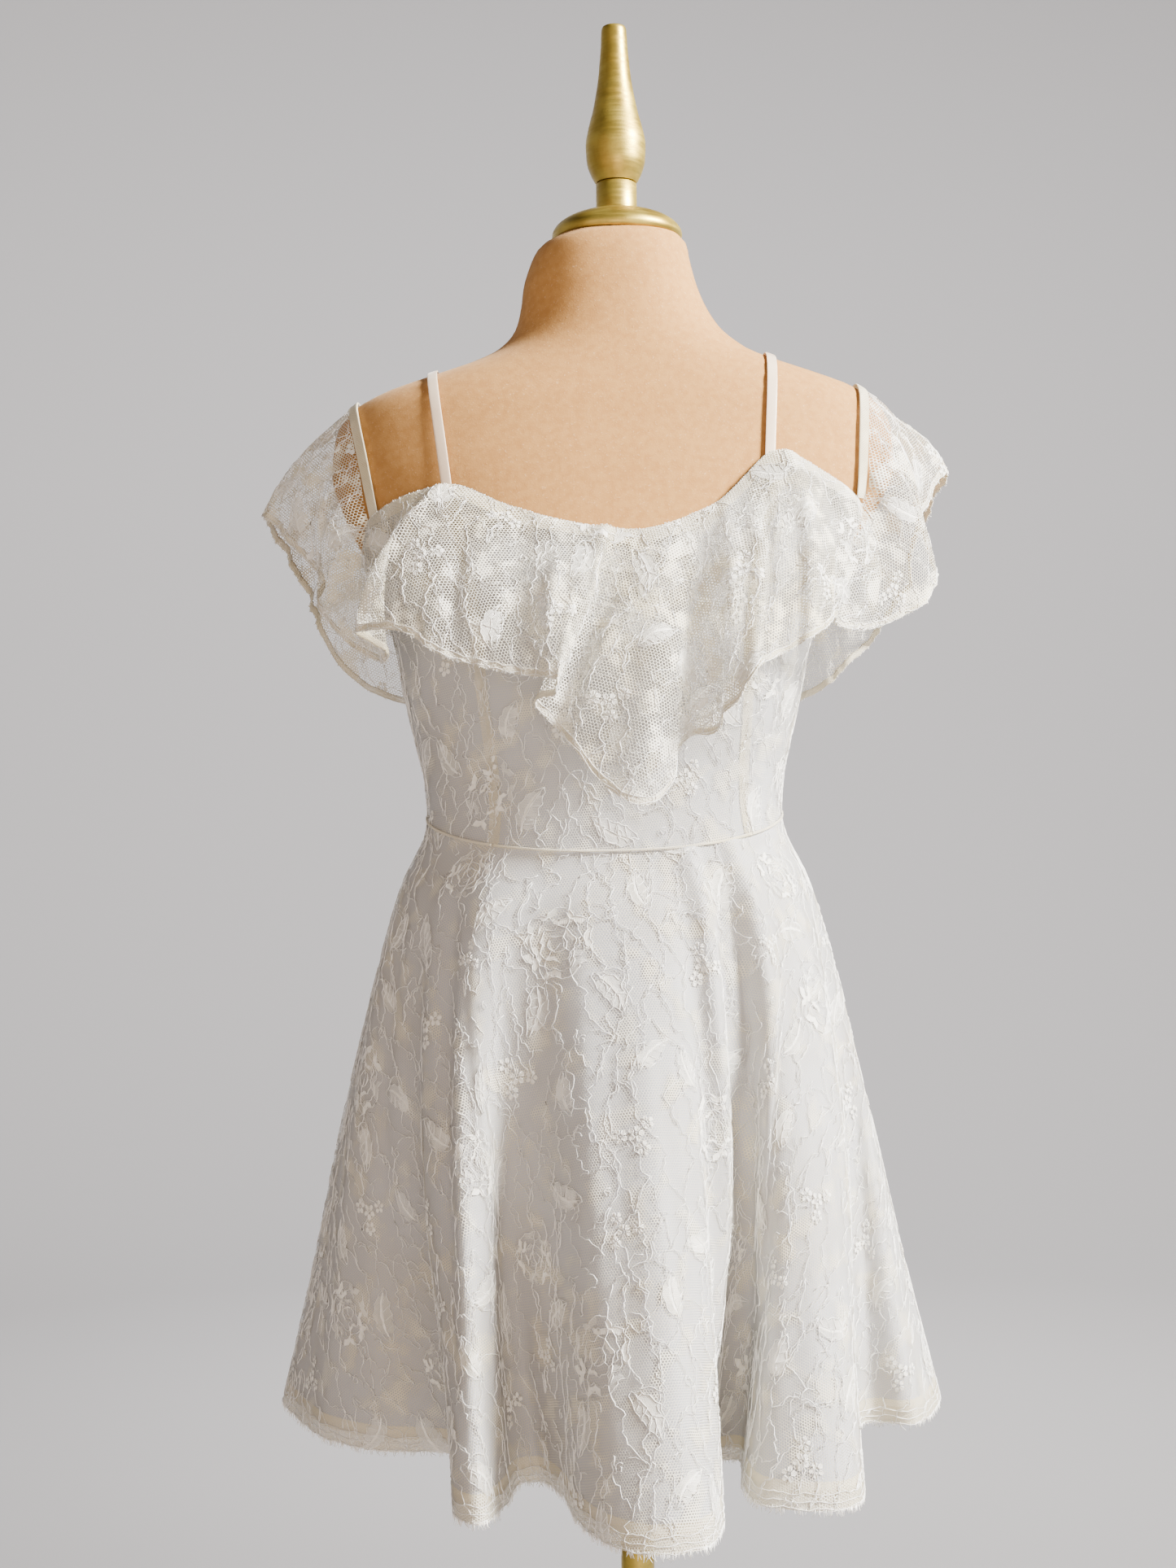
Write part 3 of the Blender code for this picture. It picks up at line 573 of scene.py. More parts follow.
class Graph:
    """A material's node tree, filled by writing sums with its values."""

    def __init__(self, name: str) -> None:
        """Start a material with a Principled shader."""
        self.material = bpy.data.materials.new(name)
        self.material.use_nodes = True
        self.tree = self.material.node_tree
        self.shader = self.tree.nodes["Principled BSDF"]

    def node(
        self, kind: str, settings: dict[str, object], inputs: dict[Key, Value], output: Key = 0
    ) -> Wire:
        """Add a node.

        Args:
            kind: The node's type.
            settings: Its settings, set before its sockets.
            inputs: The values or links of its sockets, by number or name.
            output: The socket that is read.

        Returns:
            The node's output.
        """
        node = self.tree.nodes.new(kind)
        for name, value in settings.items():
            setattr(node, name, value)
        self.connect(node, inputs)
        return Wire(self, node.outputs[output])

    def connect(self, node: bpy.types.Node, inputs: dict[Key, Value]) -> None:
        """Set or link a node's sockets."""
        for key, value in inputs.items():
            if isinstance(value, Wire):
                self.tree.links.new(value.socket, node.inputs[key])
            else:
                node.inputs[key].default_value = value

    def mix(self, share: Value, first: Value, second: Value) -> Wire:
        """A colour between two colours."""
        first, second = ((*c, 1) if isinstance(c, tuple) else c for c in (first, second))
        return self.node("ShaderNodeMix", {"data_type": "RGBA"}, {0: share, 6: first, 7: second}, 2)

    def cut_place(self) -> Wire:
        """The place on the flat cut, in metres."""
        return self.node("ShaderNodeUVMap", {"uv_map": CUT_MAP}, {})

    def object_place(self) -> Wire:
        """The place in the part's frame, in metres."""
        return self.node("ShaderNodeTexCoord", {}, {}, "Object")

    def noise(self, place: Wire, size: float, detail: float = 2.0, output: int = 0) -> Wire:
        """Noise whose lumps are about a size across."""
        inputs = {"Vector": place, "Scale": 1 / size, "Detail": detail}
        return self.node("ShaderNodeTexNoise", {}, inputs, output)

    def split(self, place: Wire) -> tuple[Wire, Wire, Wire]:
        """A vector's x, y and z."""
        first = self.node("ShaderNodeSeparateXYZ", {}, {0: place})
        outputs = first.socket.node.outputs
        return tuple(Wire(self, outputs[k]) for k in range(3))

    def warped(self, place: Wire, size: float, amount: float) -> Wire:
        """The place, pushed about by soft noise."""
        inputs = {0: self.noise(place, size, 1.0, 1), 1: (0.5, 0.5, 0.5)}
        centred = self.node("ShaderNodeVectorMath", {"operation": "SUBTRACT"}, inputs)
        scaled = self.node("ShaderNodeVectorMath", {"operation": "SCALE"}, {0: centred, "Scale": amount})
        return self.node("ShaderNodeVectorMath", {"operation": "ADD"}, {0: place, 1: scaled})

    def hexagons(self, place: Wire, cell: float) -> Wire:
        """Distance from the nearest side of a honeycomb, in cells, 0 on a side and 0.5 mid-cell."""
        tall = math.sqrt(3)
        x, y, _ = self.split(place)
        x, y = x / cell, y / cell
        ax, ay = x % 1.0 - 0.5, y % tall - tall / 2
        bx, by = (x - 0.5) % 1.0 - 0.5, (y - tall / 2) % tall - tall / 2
        first = ax * ax + ay * ay < bx * bx + by * by
        gx = abs(bx + first * (ax - bx))
        gy = abs(by + first * (ay - by))
        return 0.5 - gx.larger(gx * 0.5 + gy * (tall / 2))

    def bump(self, height: Wire, distance: float, strength: float = 1.0) -> Wire:
        """A normal that shows a height, of 0 to 1, as a relief of a distance."""
        inputs = {"Strength": strength, "Distance": distance, "Height": height}
        return self.node("ShaderNodeBump", {}, inputs)

    def dress(self, **sockets: Value) -> bpy.types.Material:
        """Set the shader's sockets, named with underscores for spaces, and give the material."""
        values = {name.replace("_", " "): value for name, value in sockets.items()}
        for name in ("Base Color", "Sheen Tint", "Specular Tint", "Emission Color"):
            if isinstance(values.get(name), tuple):
                values[name] = (*values[name], 1)
        self.connect(self.shader, values)
        return self.material


@dataclass(frozen=True)
class NetFinish:
    """Fine honeycomb net that thickens in clouds where the ground is worked closer."""

    name: str
    colour: Colour
    tint: Colour
    cell: float
    thread: float
    worked: float

    def material(self) -> bpy.types.Material:
        """The net's material."""
        graph = Graph(self.name)
        place = graph.warped(graph.cut_place(), 0.012, 0.0016)
        edge = graph.hexagons(place, self.cell)
        cloud = graph.noise(graph.cut_place(), 0.022, 3.0).ramp(0.50, 0.66)
        half = self.thread / self.cell / 2
        width = half + cloud * (self.worked * half)
        alpha = edge.ramp(width * 0.8, width * 1.25, 1.0, 0.0)
        stain = graph.noise(graph.cut_place(), 0.09, 2.0).ramp(0.35, 0.7)
        relief = edge.ramp(0.0, width, 1.0, 0.0)
        return graph.dress(
            Base_Color=graph.mix(stain, self.colour, self.tint),
            Roughness=0.62,
            Alpha=alpha,
            Sheen_Weight=0.25,
            Sheen_Roughness=0.4,
            Normal=graph.bump(relief, 0.0003, 0.6),
        )


@dataclass(frozen=True)
class ClothworkFinish:
    """Close weave of a lace's petals and leaves, with a soft shine across its threads."""

    name: str
    colour: Colour
    tint: Colour
    roughness: float

    def material(self) -> bpy.types.Material:
        """The clothwork's material."""
        graph = Graph(self.name)
        x, y, _ = graph.split(graph.warped(graph.cut_place(), 0.006, 0.0012))
        rows = (x * (2 * math.pi / 0.0009)).sine() * 0.5 + 0.5
        ends = (y * (2 * math.pi / 0.0007)).sine() * 0.5 + 0.5
        weave = rows * 0.6 + ends * 0.4
        uneven = graph.noise(graph.cut_place(), 0.004, 3.0)
        return graph.dress(
            Base_Color=graph.mix(uneven.ramp(0.3, 0.7), self.colour, self.tint),
            Roughness=weave.ramp(0.0, 1.0, self.roughness + 0.12, self.roughness - 0.08),
            Sheen_Weight=0.3,
            Sheen_Roughness=0.35,
            Normal=graph.bump(weave * 0.7 + uneven * 0.5, 0.0004, 0.7),
        )


@dataclass(frozen=True)
class CordFinish:
    """Shiny raised cord, in places yellowed."""

    name: str
    colour: Colour
    tint: Colour
    roughness: float

    def material(self) -> bpy.types.Material:
        """The cord's material."""
        graph = Graph(self.name)
        place = graph.object_place()
        uneven = graph.noise(place, 0.012, 3.0).ramp(0.35, 0.7)
        twist = graph.noise(place, 0.0011, 2.0)
        return graph.dress(
            Base_Color=graph.mix(uneven, self.colour, self.tint),
            Roughness=twist.ramp(0.3, 0.7, self.roughness - 0.08, self.roughness + 0.12),
            Sheen_Weight=0.3,
            Sheen_Roughness=0.3,
            Normal=graph.bump(twist, 0.0004, 0.8),
        )


@dataclass(frozen=True)
class PlainClothFinish:
    """Smooth closely woven cloth, such as lining, satin tape or a turned hem."""

    name: str
    colour: Colour
    tint: Colour
    roughness: float
    thread: float
    relief: float
    sheen: float

    def material(self) -> bpy.types.Material:
        """The cloth's material."""
        graph = Graph(self.name)
        place = graph.cut_place()
        x, y, _ = graph.split(place)
        warp = (x * (2 * math.pi / self.thread)).sine()
        weft = (y * (2 * math.pi / self.thread)).sine()
        slub = graph.noise(place, 0.0025, 3.0)
        stain = graph.noise(place, 0.06, 3.0).ramp(0.35, 0.7)
        return graph.dress(
            Base_Color=graph.mix(stain, self.colour, self.tint),
            Roughness=slub.ramp(0.3, 0.7, self.roughness - 0.06, self.roughness + 0.06),
            Sheen_Weight=self.sheen,
            Sheen_Roughness=0.35,
            Normal=graph.bump(warp * weft * 0.25 + slub * 0.6, self.relief, 0.6),
        )


@dataclass(frozen=True)
class JerseyFinish:
    """Beige stretch jersey, drawn tight, with a faint heather, pale flecks and pills."""

    name: str
    colour: Colour
    shade: Colour
    fleck: Colour

    def material(self) -> bpy.types.Material:
        """The jersey's material."""
        graph = Graph(self.name)
        place = graph.object_place()
        fine = graph.noise(place, 0.0013, 3.0)
        heather = graph.noise(place, 0.005, 4.0).ramp(0.32, 0.7)
        pills = graph.noise(place, 0.0024, 2.0).ramp(0.66, 0.80)
        flecks = fine.ramp(0.60, 0.74)
        cover = graph.mix(heather * 0.6 + fine * 0.4, self.colour, self.shade)
        return graph.dress(
            Base_Color=graph.mix(flecks * 0.35, cover, self.fleck),
            Roughness=fine.ramp(0.3, 0.7, 0.95, 0.8),
            Sheen_Weight=0.12,
            Sheen_Roughness=0.5,
            Sheen_Tint=(1.0, 0.80, 0.6),
            Specular_IOR_Level=0.25,
            Normal=graph.bump(fine * 0.6 + pills * 0.4, 0.00035, 0.6),
        )


@dataclass(frozen=True)
class GoldPaintFinish:
    """Satin gold paint over turned wood or tube, brushed round and worn in specks."""

    name: str
    colour: Colour
    shade: Colour
    roughness: float

    def material(self) -> bpy.types.Material:
        """The paint's material."""
        graph = Graph(self.name)
        place = graph.object_place()
        x, y, z = graph.split(place)
        flattened = graph.node("ShaderNodeCombineXYZ", {}, {0: x * 0.25, 1: y * 0.25, 2: z * 3.0})
        strokes = graph.noise(flattened, 0.006, 4.0)
        mottle = graph.noise(place, 0.02, 4.0).ramp(0.3, 0.72)
        specks = graph.noise(place, 0.0022, 2.0).ramp(0.70, 0.78)
        colour = graph.mix(mottle * 0.7 + strokes * 0.3, self.colour, self.shade)
        return graph.dress(
            Base_Color=graph.mix(specks * 0.5, colour, (0.20, 0.13, 0.04)),
            Metallic=0.85,
            Roughness=strokes.ramp(0.3, 0.75, self.roughness - 0.07, self.roughness + 0.1),
            Coat_Weight=0.25,
            Coat_Roughness=0.25,
            Normal=graph.bump(strokes * 0.6 + graph.noise(place, 0.0012, 2.0) * 0.4, 0.0003, 0.35),
        )


@dataclass(frozen=True)
class PlasticFinish:
    """Clear yellowed plastic with a moulded skin."""

    name: str
    colour: Colour

    def material(self) -> bpy.types.Material:
        """The plastic's material."""
        graph = Graph(self.name)
        skin = graph.noise(graph.object_place(), 0.001, 2.0)
        return graph.dress(
            Base_Color=graph.mix(skin, self.colour, (0.70, 0.66, 0.56)),
            Roughness=0.18,
            Transmission_Weight=0.55,
            IOR=1.46,
            Normal=graph.bump(skin, 0.0001, 0.3),
        )


@dataclass(frozen=True)
class StageFinish:
    """Plain matt paint for the floor and backdrop."""

    name: str
    colour: Colour

    def material(self) -> bpy.types.Material:
        """The paint's material."""
        graph = Graph(self.name)
        skin = graph.noise(graph.object_place(), 0.03, 3.0)
        return graph.dress(Base_Color=self.colour, Roughness=0.9, Normal=graph.bump(skin, 0.001, 0.15))


IVORY: Colour = (0.86, 0.83, 0.73)
CREAM: Colour = (0.81, 0.75, 0.60)
YELLOWED: Colour = (0.74, 0.66, 0.45)
COOL_WHITE: Colour = (0.53, 0.545, 0.595)
NET_WHITE: Colour = (0.73, 0.70, 0.61)
BRIGHT_WHITE: Colour = (0.95, 0.94, 0.89)
PEARL: Colour = (0.80, 0.64, 0.48)


class Finish(Enum):
    """The dress's and the stand's finishes."""

    NET = NetFinish("lace_net", NET_WHITE, (0.72, 0.66, 0.52), 0.0019, 0.00034, 1.9)
    FLOUNCE_NET = NetFinish("flounce_net", IVORY, (0.82, 0.75, 0.56), 0.0022, 0.00038, 2.4)
    DOUBLE_NET = NetFinish("doubled_net", CREAM, YELLOWED, 0.0012, 0.00062, 0.5)
    CLOTHWORK = ClothworkFinish("lace_clothwork", BRIGHT_WHITE, IVORY, 0.45)
    HALF_STITCH = NetFinish("lace_half_stitch", BRIGHT_WHITE, IVORY, 0.0009, 0.00030, 0.8)
    CORD = CordFinish("lace_cord", (0.97, 0.96, 0.93), BRIGHT_WHITE, 0.34)
    LINING = PlainClothFinish("lining_cloth", COOL_WHITE, (0.50, 0.50, 0.525), 0.5, 0.0004, 0.0001, 0.2)
    HEM_TAPE = PlainClothFinish("lining_hem", CREAM, YELLOWED, 0.6, 0.0005, 0.0002, 0.2)
    SATIN = PlainClothFinish("strap_satin", PEARL, (0.74, 0.57, 0.41), 0.34, 0.0006, 0.0001, 0.3)
    JERSEY = JerseyFinish("form_jersey", (0.50, 0.262, 0.080), (0.40, 0.19, 0.050), (0.80, 0.55, 0.33))
    GOLD = GoldPaintFinish("satin_gold", (0.60, 0.455, 0.085), (0.32, 0.21, 0.025), 0.42)
    PLASTIC = PlasticFinish("slider_plastic", (0.80, 0.76, 0.66))
    STAGE = StageFinish("pale_backdrop", (0.20, 0.195, 0.195))

    def material(self) -> bpy.types.Material:
        """The finish's material, made once."""
        return bpy.data.materials.get(self.value.name) or self.value.material()


def triangles(quads: Array) -> Array:
    """The quads, each cut in two."""
    return np.concatenate([quads[:, :3], quads[:, [0, 2, 3]]])


def grid_faces(rows: int, columns: int, closed: bool = False) -> Array:
    """Quads of a grid of points, which face out where columns run round and rows run down."""
    count = columns if closed else columns - 1
    row, column = np.meshgrid(np.arange(rows - 1), np.arange(count), indexing="ij")
    following = (column + 1) % columns
    corners = (row * columns + column, (row + 1) * columns + column)
    opposite = ((row + 1) * columns + following, row * columns + following)
    return np.stack([*corners, *opposite], axis=-1).reshape(-1, 4)


def capped_faces(rows: int, columns: int) -> list[list[int]]:
    """Quads of a closed grid of points, and a face over each of its ends."""
    last = (rows - 1) * columns
    caps = [list(range(columns)), list(reversed(range(last, last + columns)))]
    return grid_faces(rows, columns, closed=True).tolist() + caps


def turned(profile: Array, sides: int) -> Array:
    """The grid of points of a profile, of radius and height, turned about the upright axis."""
    angle = np.linspace(0, 2 * math.pi, sides, endpoint=False)
    radius, height = profile[:, :1], profile[:, 1:]
    return np.stack([radius * np.sin(angle), -radius * np.cos(angle), height + 0 * angle], axis=-1)


def make_mesh(
    name: str, points: Array, faces: list[list[int]], finish: Finish, sharp: float = 0.0
) -> bpy.types.Object:
    """Make a smooth mesh object.

    Args:
        name: The object's name.
        points: Its points, in metres.
        faces: Its faces, as lists of point numbers.
        finish: What it is dressed in.
        sharp: The angle in degrees from which its edges are sharp, if any are.

    Returns:
        The object.
    """
    mesh = bpy.data.meshes.new(name)
    mesh.from_pydata(points.reshape(-1, 3).tolist(), [], faces)
    mesh.shade_smooth()
    if sharp:
        mesh.set_sharp_from_angle(angle=math.radians(sharp))
    mesh.materials.append(finish.material())
    made = bpy.data.objects.new(name, mesh)
    bpy.context.scene.collection.objects.link(made)
    return made


def stand_for(name: str) -> None:
    """Hide the solid that a piece replaces."""
    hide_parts(name)


def make_solid(name: str, points: Array, finish: Finish, sharp: float) -> None:
    """Make the closed piece of a grid, capped at both ends, that replaces the solid of its name."""
    piece = make_mesh(name, points, capped_faces(*points.shape[:2]), finish, sharp)
    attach(piece, BODY)
    stand_for(name)


def make_piece(
    name: str, points: Array, faces: Array, finish: Finish, cut: Union[Array, None] = None
) -> bpy.types.Object:
    """Make a smooth mesh piece that rides with the part.

    Args:
        name: The piece's name.
        points: Its points, in metres.
        faces: Its faces, as rows of point numbers.
        finish: What it is dressed in.
        cut: Each point's place on the flat cut, if the finish needs one.

    Returns:
        The piece.
    """
    piece = make_mesh(name, points, faces.tolist(), finish)
    if cut is not None:
        loops = np.zeros(len(piece.data.loops), int)
        piece.data.loops.foreach_get("vertex_index", loops)
        layer = piece.data.uv_layers.new(name=CUT_MAP)
        layer.data.foreach_set("uv", cut.reshape(-1, 2)[loops].ravel())
    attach(piece, BODY)
    return piece


class Crease(NamedTuple):
    """A soft ridge, or a trough if its depth is less than 0.

    across is where it lies along the piece's columns and start and end how far down, all 0 to 1.
    lean is how far across it drifts on the way down. width and depth are in metres.
    """

    across: float
    start: float
    end: float
    lean: float
    width: float
    depth: float


def creased(grid: Array, creases: Iterable[Crease]) -> Array:
    """The grid with soft ridges and troughs pressed into it."""
    rows, columns = grid.shape[:2]
    fall = np.linspace(0, 1, rows)
    steps = np.linalg.norm(np.diff(grid, axis=1), axis=-1)
    along = np.concatenate([np.zeros((rows, 1)), np.cumsum(steps, axis=1)], axis=1)
    places = np.arange(columns)
    push = np.zeros((rows, columns))
    for crease in creases:
        at = (crease.across + crease.lean * fall) * (columns - 1)
        centre = np.array([np.interp(at[row], places, along[row]) for row in range(rows)])
        share = (fall - crease.start) / (crease.end - crease.start)
        fade = np.clip(np.sin(math.pi * np.clip(share, 0, 1)), 0, 1) ** 0.7
        away = (along - centre[:, None]) / crease.width
        push += (crease.depth * fade)[:, None] * np.exp(-(away**2))
    return grid + push[..., None] * grid_normals(grid)


class Edge(Enum):
    """The edges of a panel that a strip can follow."""

    UPPER = "upper"
    HEM = "hem"


@dataclass
class Panel:
    """A piece of cloth: its points in place and its flat cut."""

    name: str
    points: Array
    flat: Array = field(init=False)
    down: Array = field(init=False)
    normals: Array = field(init=False)
    tree: BVHTree = field(init=False)
    corners: Array = field(init=False)

    def __post_init__(self) -> None:
        """Lay the cloth flat and index its flat faces."""
        self.flat, self.down = unroll(self.points)
        self.normals = grid_normals(self.points)
        self.corners = triangles(grid_faces(*self.points.shape[:2]))
        flat = np.concatenate([self.flat.reshape(-1, 2), np.zeros((self.flat.size // 2, 1))], axis=1)
        self.tree = BVHTree.FromPolygons(flat.tolist(), self.corners.tolist())

    def cut(self) -> tuple[float, float, float]:
        """The flat cut's width, length and area."""
        a, b, c = (self.flat.reshape(-1, 2)[self.corners[:, k]] for k in range(3))
        area = np.abs(flat_cross(b - a, c - a)).sum() / 2
        width, length = np.ptp(self.flat.reshape(-1, 2), axis=0)
        return float(width), float(length), float(area)

    def place(self, spots: Array) -> tuple[Array, Array, Array]:
        """Carry spots of the flat cut to where they lie on the cloth.

        Args:
            spots: Places on the flat cut.

        Returns:
            Which spots lie on the cloth, and the points and normals of those.
        """
        down = Vector((0, 0, -1))
        hits = [self.tree.ray_cast(Vector((x, y, 1)), down)[2] for x, y in spots.tolist()]
        found = np.array([hit is not None for hit in hits], bool)
        face = self.corners[[hit for hit in hits if hit is not None]]
        a, b, c = (self.flat.reshape(-1, 2)[face[:, k]] for k in range(3))
        spot = spots[found]
        whole = flat_cross(b - a, c - a)
        second = flat_cross(spot - a, c - a) / whole
        third = flat_cross(b - a, spot - a) / whole
        shares = np.stack([1 - second - third, second, third], axis=1)[..., None]
        points = (self.points.reshape(-1, 3)[face] * shares).sum(axis=1)
        normals = unit((self.normals.reshape(-1, 3)[face] * shares).sum(axis=1))
        return found, points, normals

    def build(self, finish: Finish) -> bpy.types.Object:
        """The cloth itself."""
        return make_piece(self.name, self.points, grid_faces(*self.points.shape[:2]), finish, self.flat)

    def row_at(self, grid: Array, at: Array) -> Array:
        """The points of a grid laid out like the cloth, at a distance down each rib."""
        rows = np.arange(len(grid))
        places = [np.interp(at[c], self.down[:, c], rows) for c in range(grid.shape[1])]
        return rows_between(grid, np.array(places))

    def strip(
        self, ending: str, edge: Edge, span: Pair, out: float, finish: Finish, wall: float = 0.0
    ) -> bpy.types.Object:
        """Lay a strip on the cloth along its upper edge or its hem.

        Args:
            ending: What is added to the cloth's name for the strip's name.
            edge: Which edge it follows.
            span: How far in from that edge its two sides lie.
            out: How far off the cloth it lies.
            finish: What it is dressed in.
            wall: Its thickness, if it is folded.

        Returns:
            The strip.
        """
        rows = 4
        reach = np.linspace(*span, rows)
        length = self.down[-1]
        lines = [0 * length + r if edge is Edge.UPPER else length - r for r in reach]
        moved = self.points + out * self.normals
        grid = np.array([self.row_at(moved, line) for line in lines])
        cut = np.array([self.row_at(self.flat, line) for line in lines])
        piece = make_piece(self.name + ending, grid, grid_faces(rows, len(length)), finish, cut)
        if wall:
            fold = piece.modifiers.new("Fold", "SOLIDIFY")
            fold.thickness = wall
            fold.offset = 0
        return piece


def make_tubes(
    name: str, points: Array, normals: Array, runs: Array, radius: Array, lift: float
) -> bpy.types.Object:
    """Make many fine cords as one mesh of three-sided tubes.

    Args:
        name: The piece's name.
        points: The cords' points, one cord after another.
        normals: The cloth's normal at each point.
        runs: Each point's cord number.
        radius: Each point's radius.
        lift: How far off the cloth the cords' middles lie.

    Returns:
        The piece.
    """
    same_next = np.concatenate([runs[1:] == runs[:-1], [False]])
    same_last = np.concatenate([[False], runs[1:] == runs[:-1]])
    ahead = np.where(same_next[:, None], np.roll(points, -1, axis=0), points)
    behind = np.where(same_last[:, None], np.roll(points, 1, axis=0), points)
    way = unit(ahead - behind)
    side = unit(np.cross(way, normals))
    middle = points + lift * normals
    turns = np.radians([90, 210, 330])
    rings = np.stack(
        [middle + radius[:, None] * (math.cos(t) * side + math.sin(t) * normals) for t in turns], axis=1
    )
    first = np.flatnonzero(same_next) * 3
    corners = [(k, (k + 1) % 3, 3 + (k + 1) % 3, 3 + k) for k in range(3)]
    faces = np.concatenate([np.stack([first + c for c in four], axis=1) for four in corners]).tolist()
    faces += [[3 * i + 2, 3 * i + 1, 3 * i] for i in np.flatnonzero(~same_last)]
    faces += [[3 * i, 3 * i + 1, 3 * i + 2] for i in np.flatnonzero(~same_next)]
    piece = make_mesh(name, rings, faces, Finish.CORD)
    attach(piece, BODY)
    return piece


def make_fringe(panel: Panel, edge: Edge, spacing: float, reach: Pair) -> bpy.types.Object:
    """The fine thread ends that stand out along an edge of a lace panel.

    Args:
        panel: The lace.
        edge: The edge.
        spacing: How far apart the ends stand.
        reach: The least and the most that they stand out.

    Returns:
        The fringe, as one piece.
    """
    random = np.random.default_rng(FRINGE_SEED)
    row, inner = (0, 2) if edge is Edge.UPPER else (-1, -3)
    length = arc_length(panel.points[row])
    count = max(2, round(length[-1] / spacing))
    at = np.sort(random.uniform(0, length[-1], count))
    start = read_at(panel.points[row], length, at)
    normals = unit(read_at(panel.normals[row], length, at))
    out = unit(read_at(panel.points[row] - panel.points[inner], length, at))
    side = np.cross(out, normals)
    far = random.uniform(*reach, count)[:, None]
    sway = random.normal(0, 0.4, count)[:, None]
    shares = (-0.6, 0.2, 1.0)
    points = np.stack([start + far * s * (out + sway * max(s, 0) * side) for s in shares], axis=1)
    runs = np.repeat(np.arange(count), len(shares))
    radius = np.tile([0.0003, 0.00028, 0.00012], count)
    normals = np.repeat(normals, len(shares), axis=0)
    name = f"{panel.name}_{edge.value}_fringe"
    return make_tubes(name, points.reshape(-1, 3), normals, runs, radius, 0.0)


class Work(Enum):
    """How a patch of the lace is worked."""

    CLOSE = "close"
    HALF = "half"


WORKED = (
    (Work.CLOSE, Finish.CLOTHWORK, "_clothwork"),
    (Work.HALF, Finish.HALF_STITCH, "_half_stitch"),
)


class Patch(NamedTuple):
    """A worked patch of the lace: its flat points, its faces and how it is worked."""

    spots: Array
    faces: Array
    work: Work


class Motif(Enum):
    """The flowers and leaves of the lace."""

    CLUSTER = "cluster"
    ROSE = "rose"
    LEAF = "leaf"
    LOOP = "loop"


class Spot(NamedTuple):
    """A motif's place in the lace's repeat in millimetres, its size, and its turn in degrees."""

    x: float
    y: float
    size: float
    turn: float


REPEAT_SPOTS = {
    Motif.ROSE: table(
        Spot,
        (62, 70, 60, 10), (208, 238, 66, 130), (128, 330, 48, 70),
    ),
    Motif.CLUSTER: table(
        Spot,
        (150, 128, 15, 20), (262, 60, 14, 75), (42, 214, 15, 140), (118, 246, 12, 200),
        (244, 338, 13, 260),
    ),
    Motif.LEAF: table(
        Spot,
        (108, 42, 52, 60), (20, 118, 46, 118), (96, 128, 44, 70), (176, 182, 50, 250),
        (250, 186, 48, 300), (152, 276, 46, 28), (70, 290, 56, 80), (286, 282, 44, 100),
        (202, 104, 42, 95), (186, 20, 48, 150), (284, 128, 40, 45), (22, 330, 44, 200),
    ),
    Motif.LOOP: table(
        Spot,
        (84, 186, 12, 0), (222, 148, 10, 40), (130, 196, 9, 90), (292, 212, 11, 120),
        (170, 352, 10, 10), (232, 12, 9, 60), (36, 16, 10, 30),
    ),
}


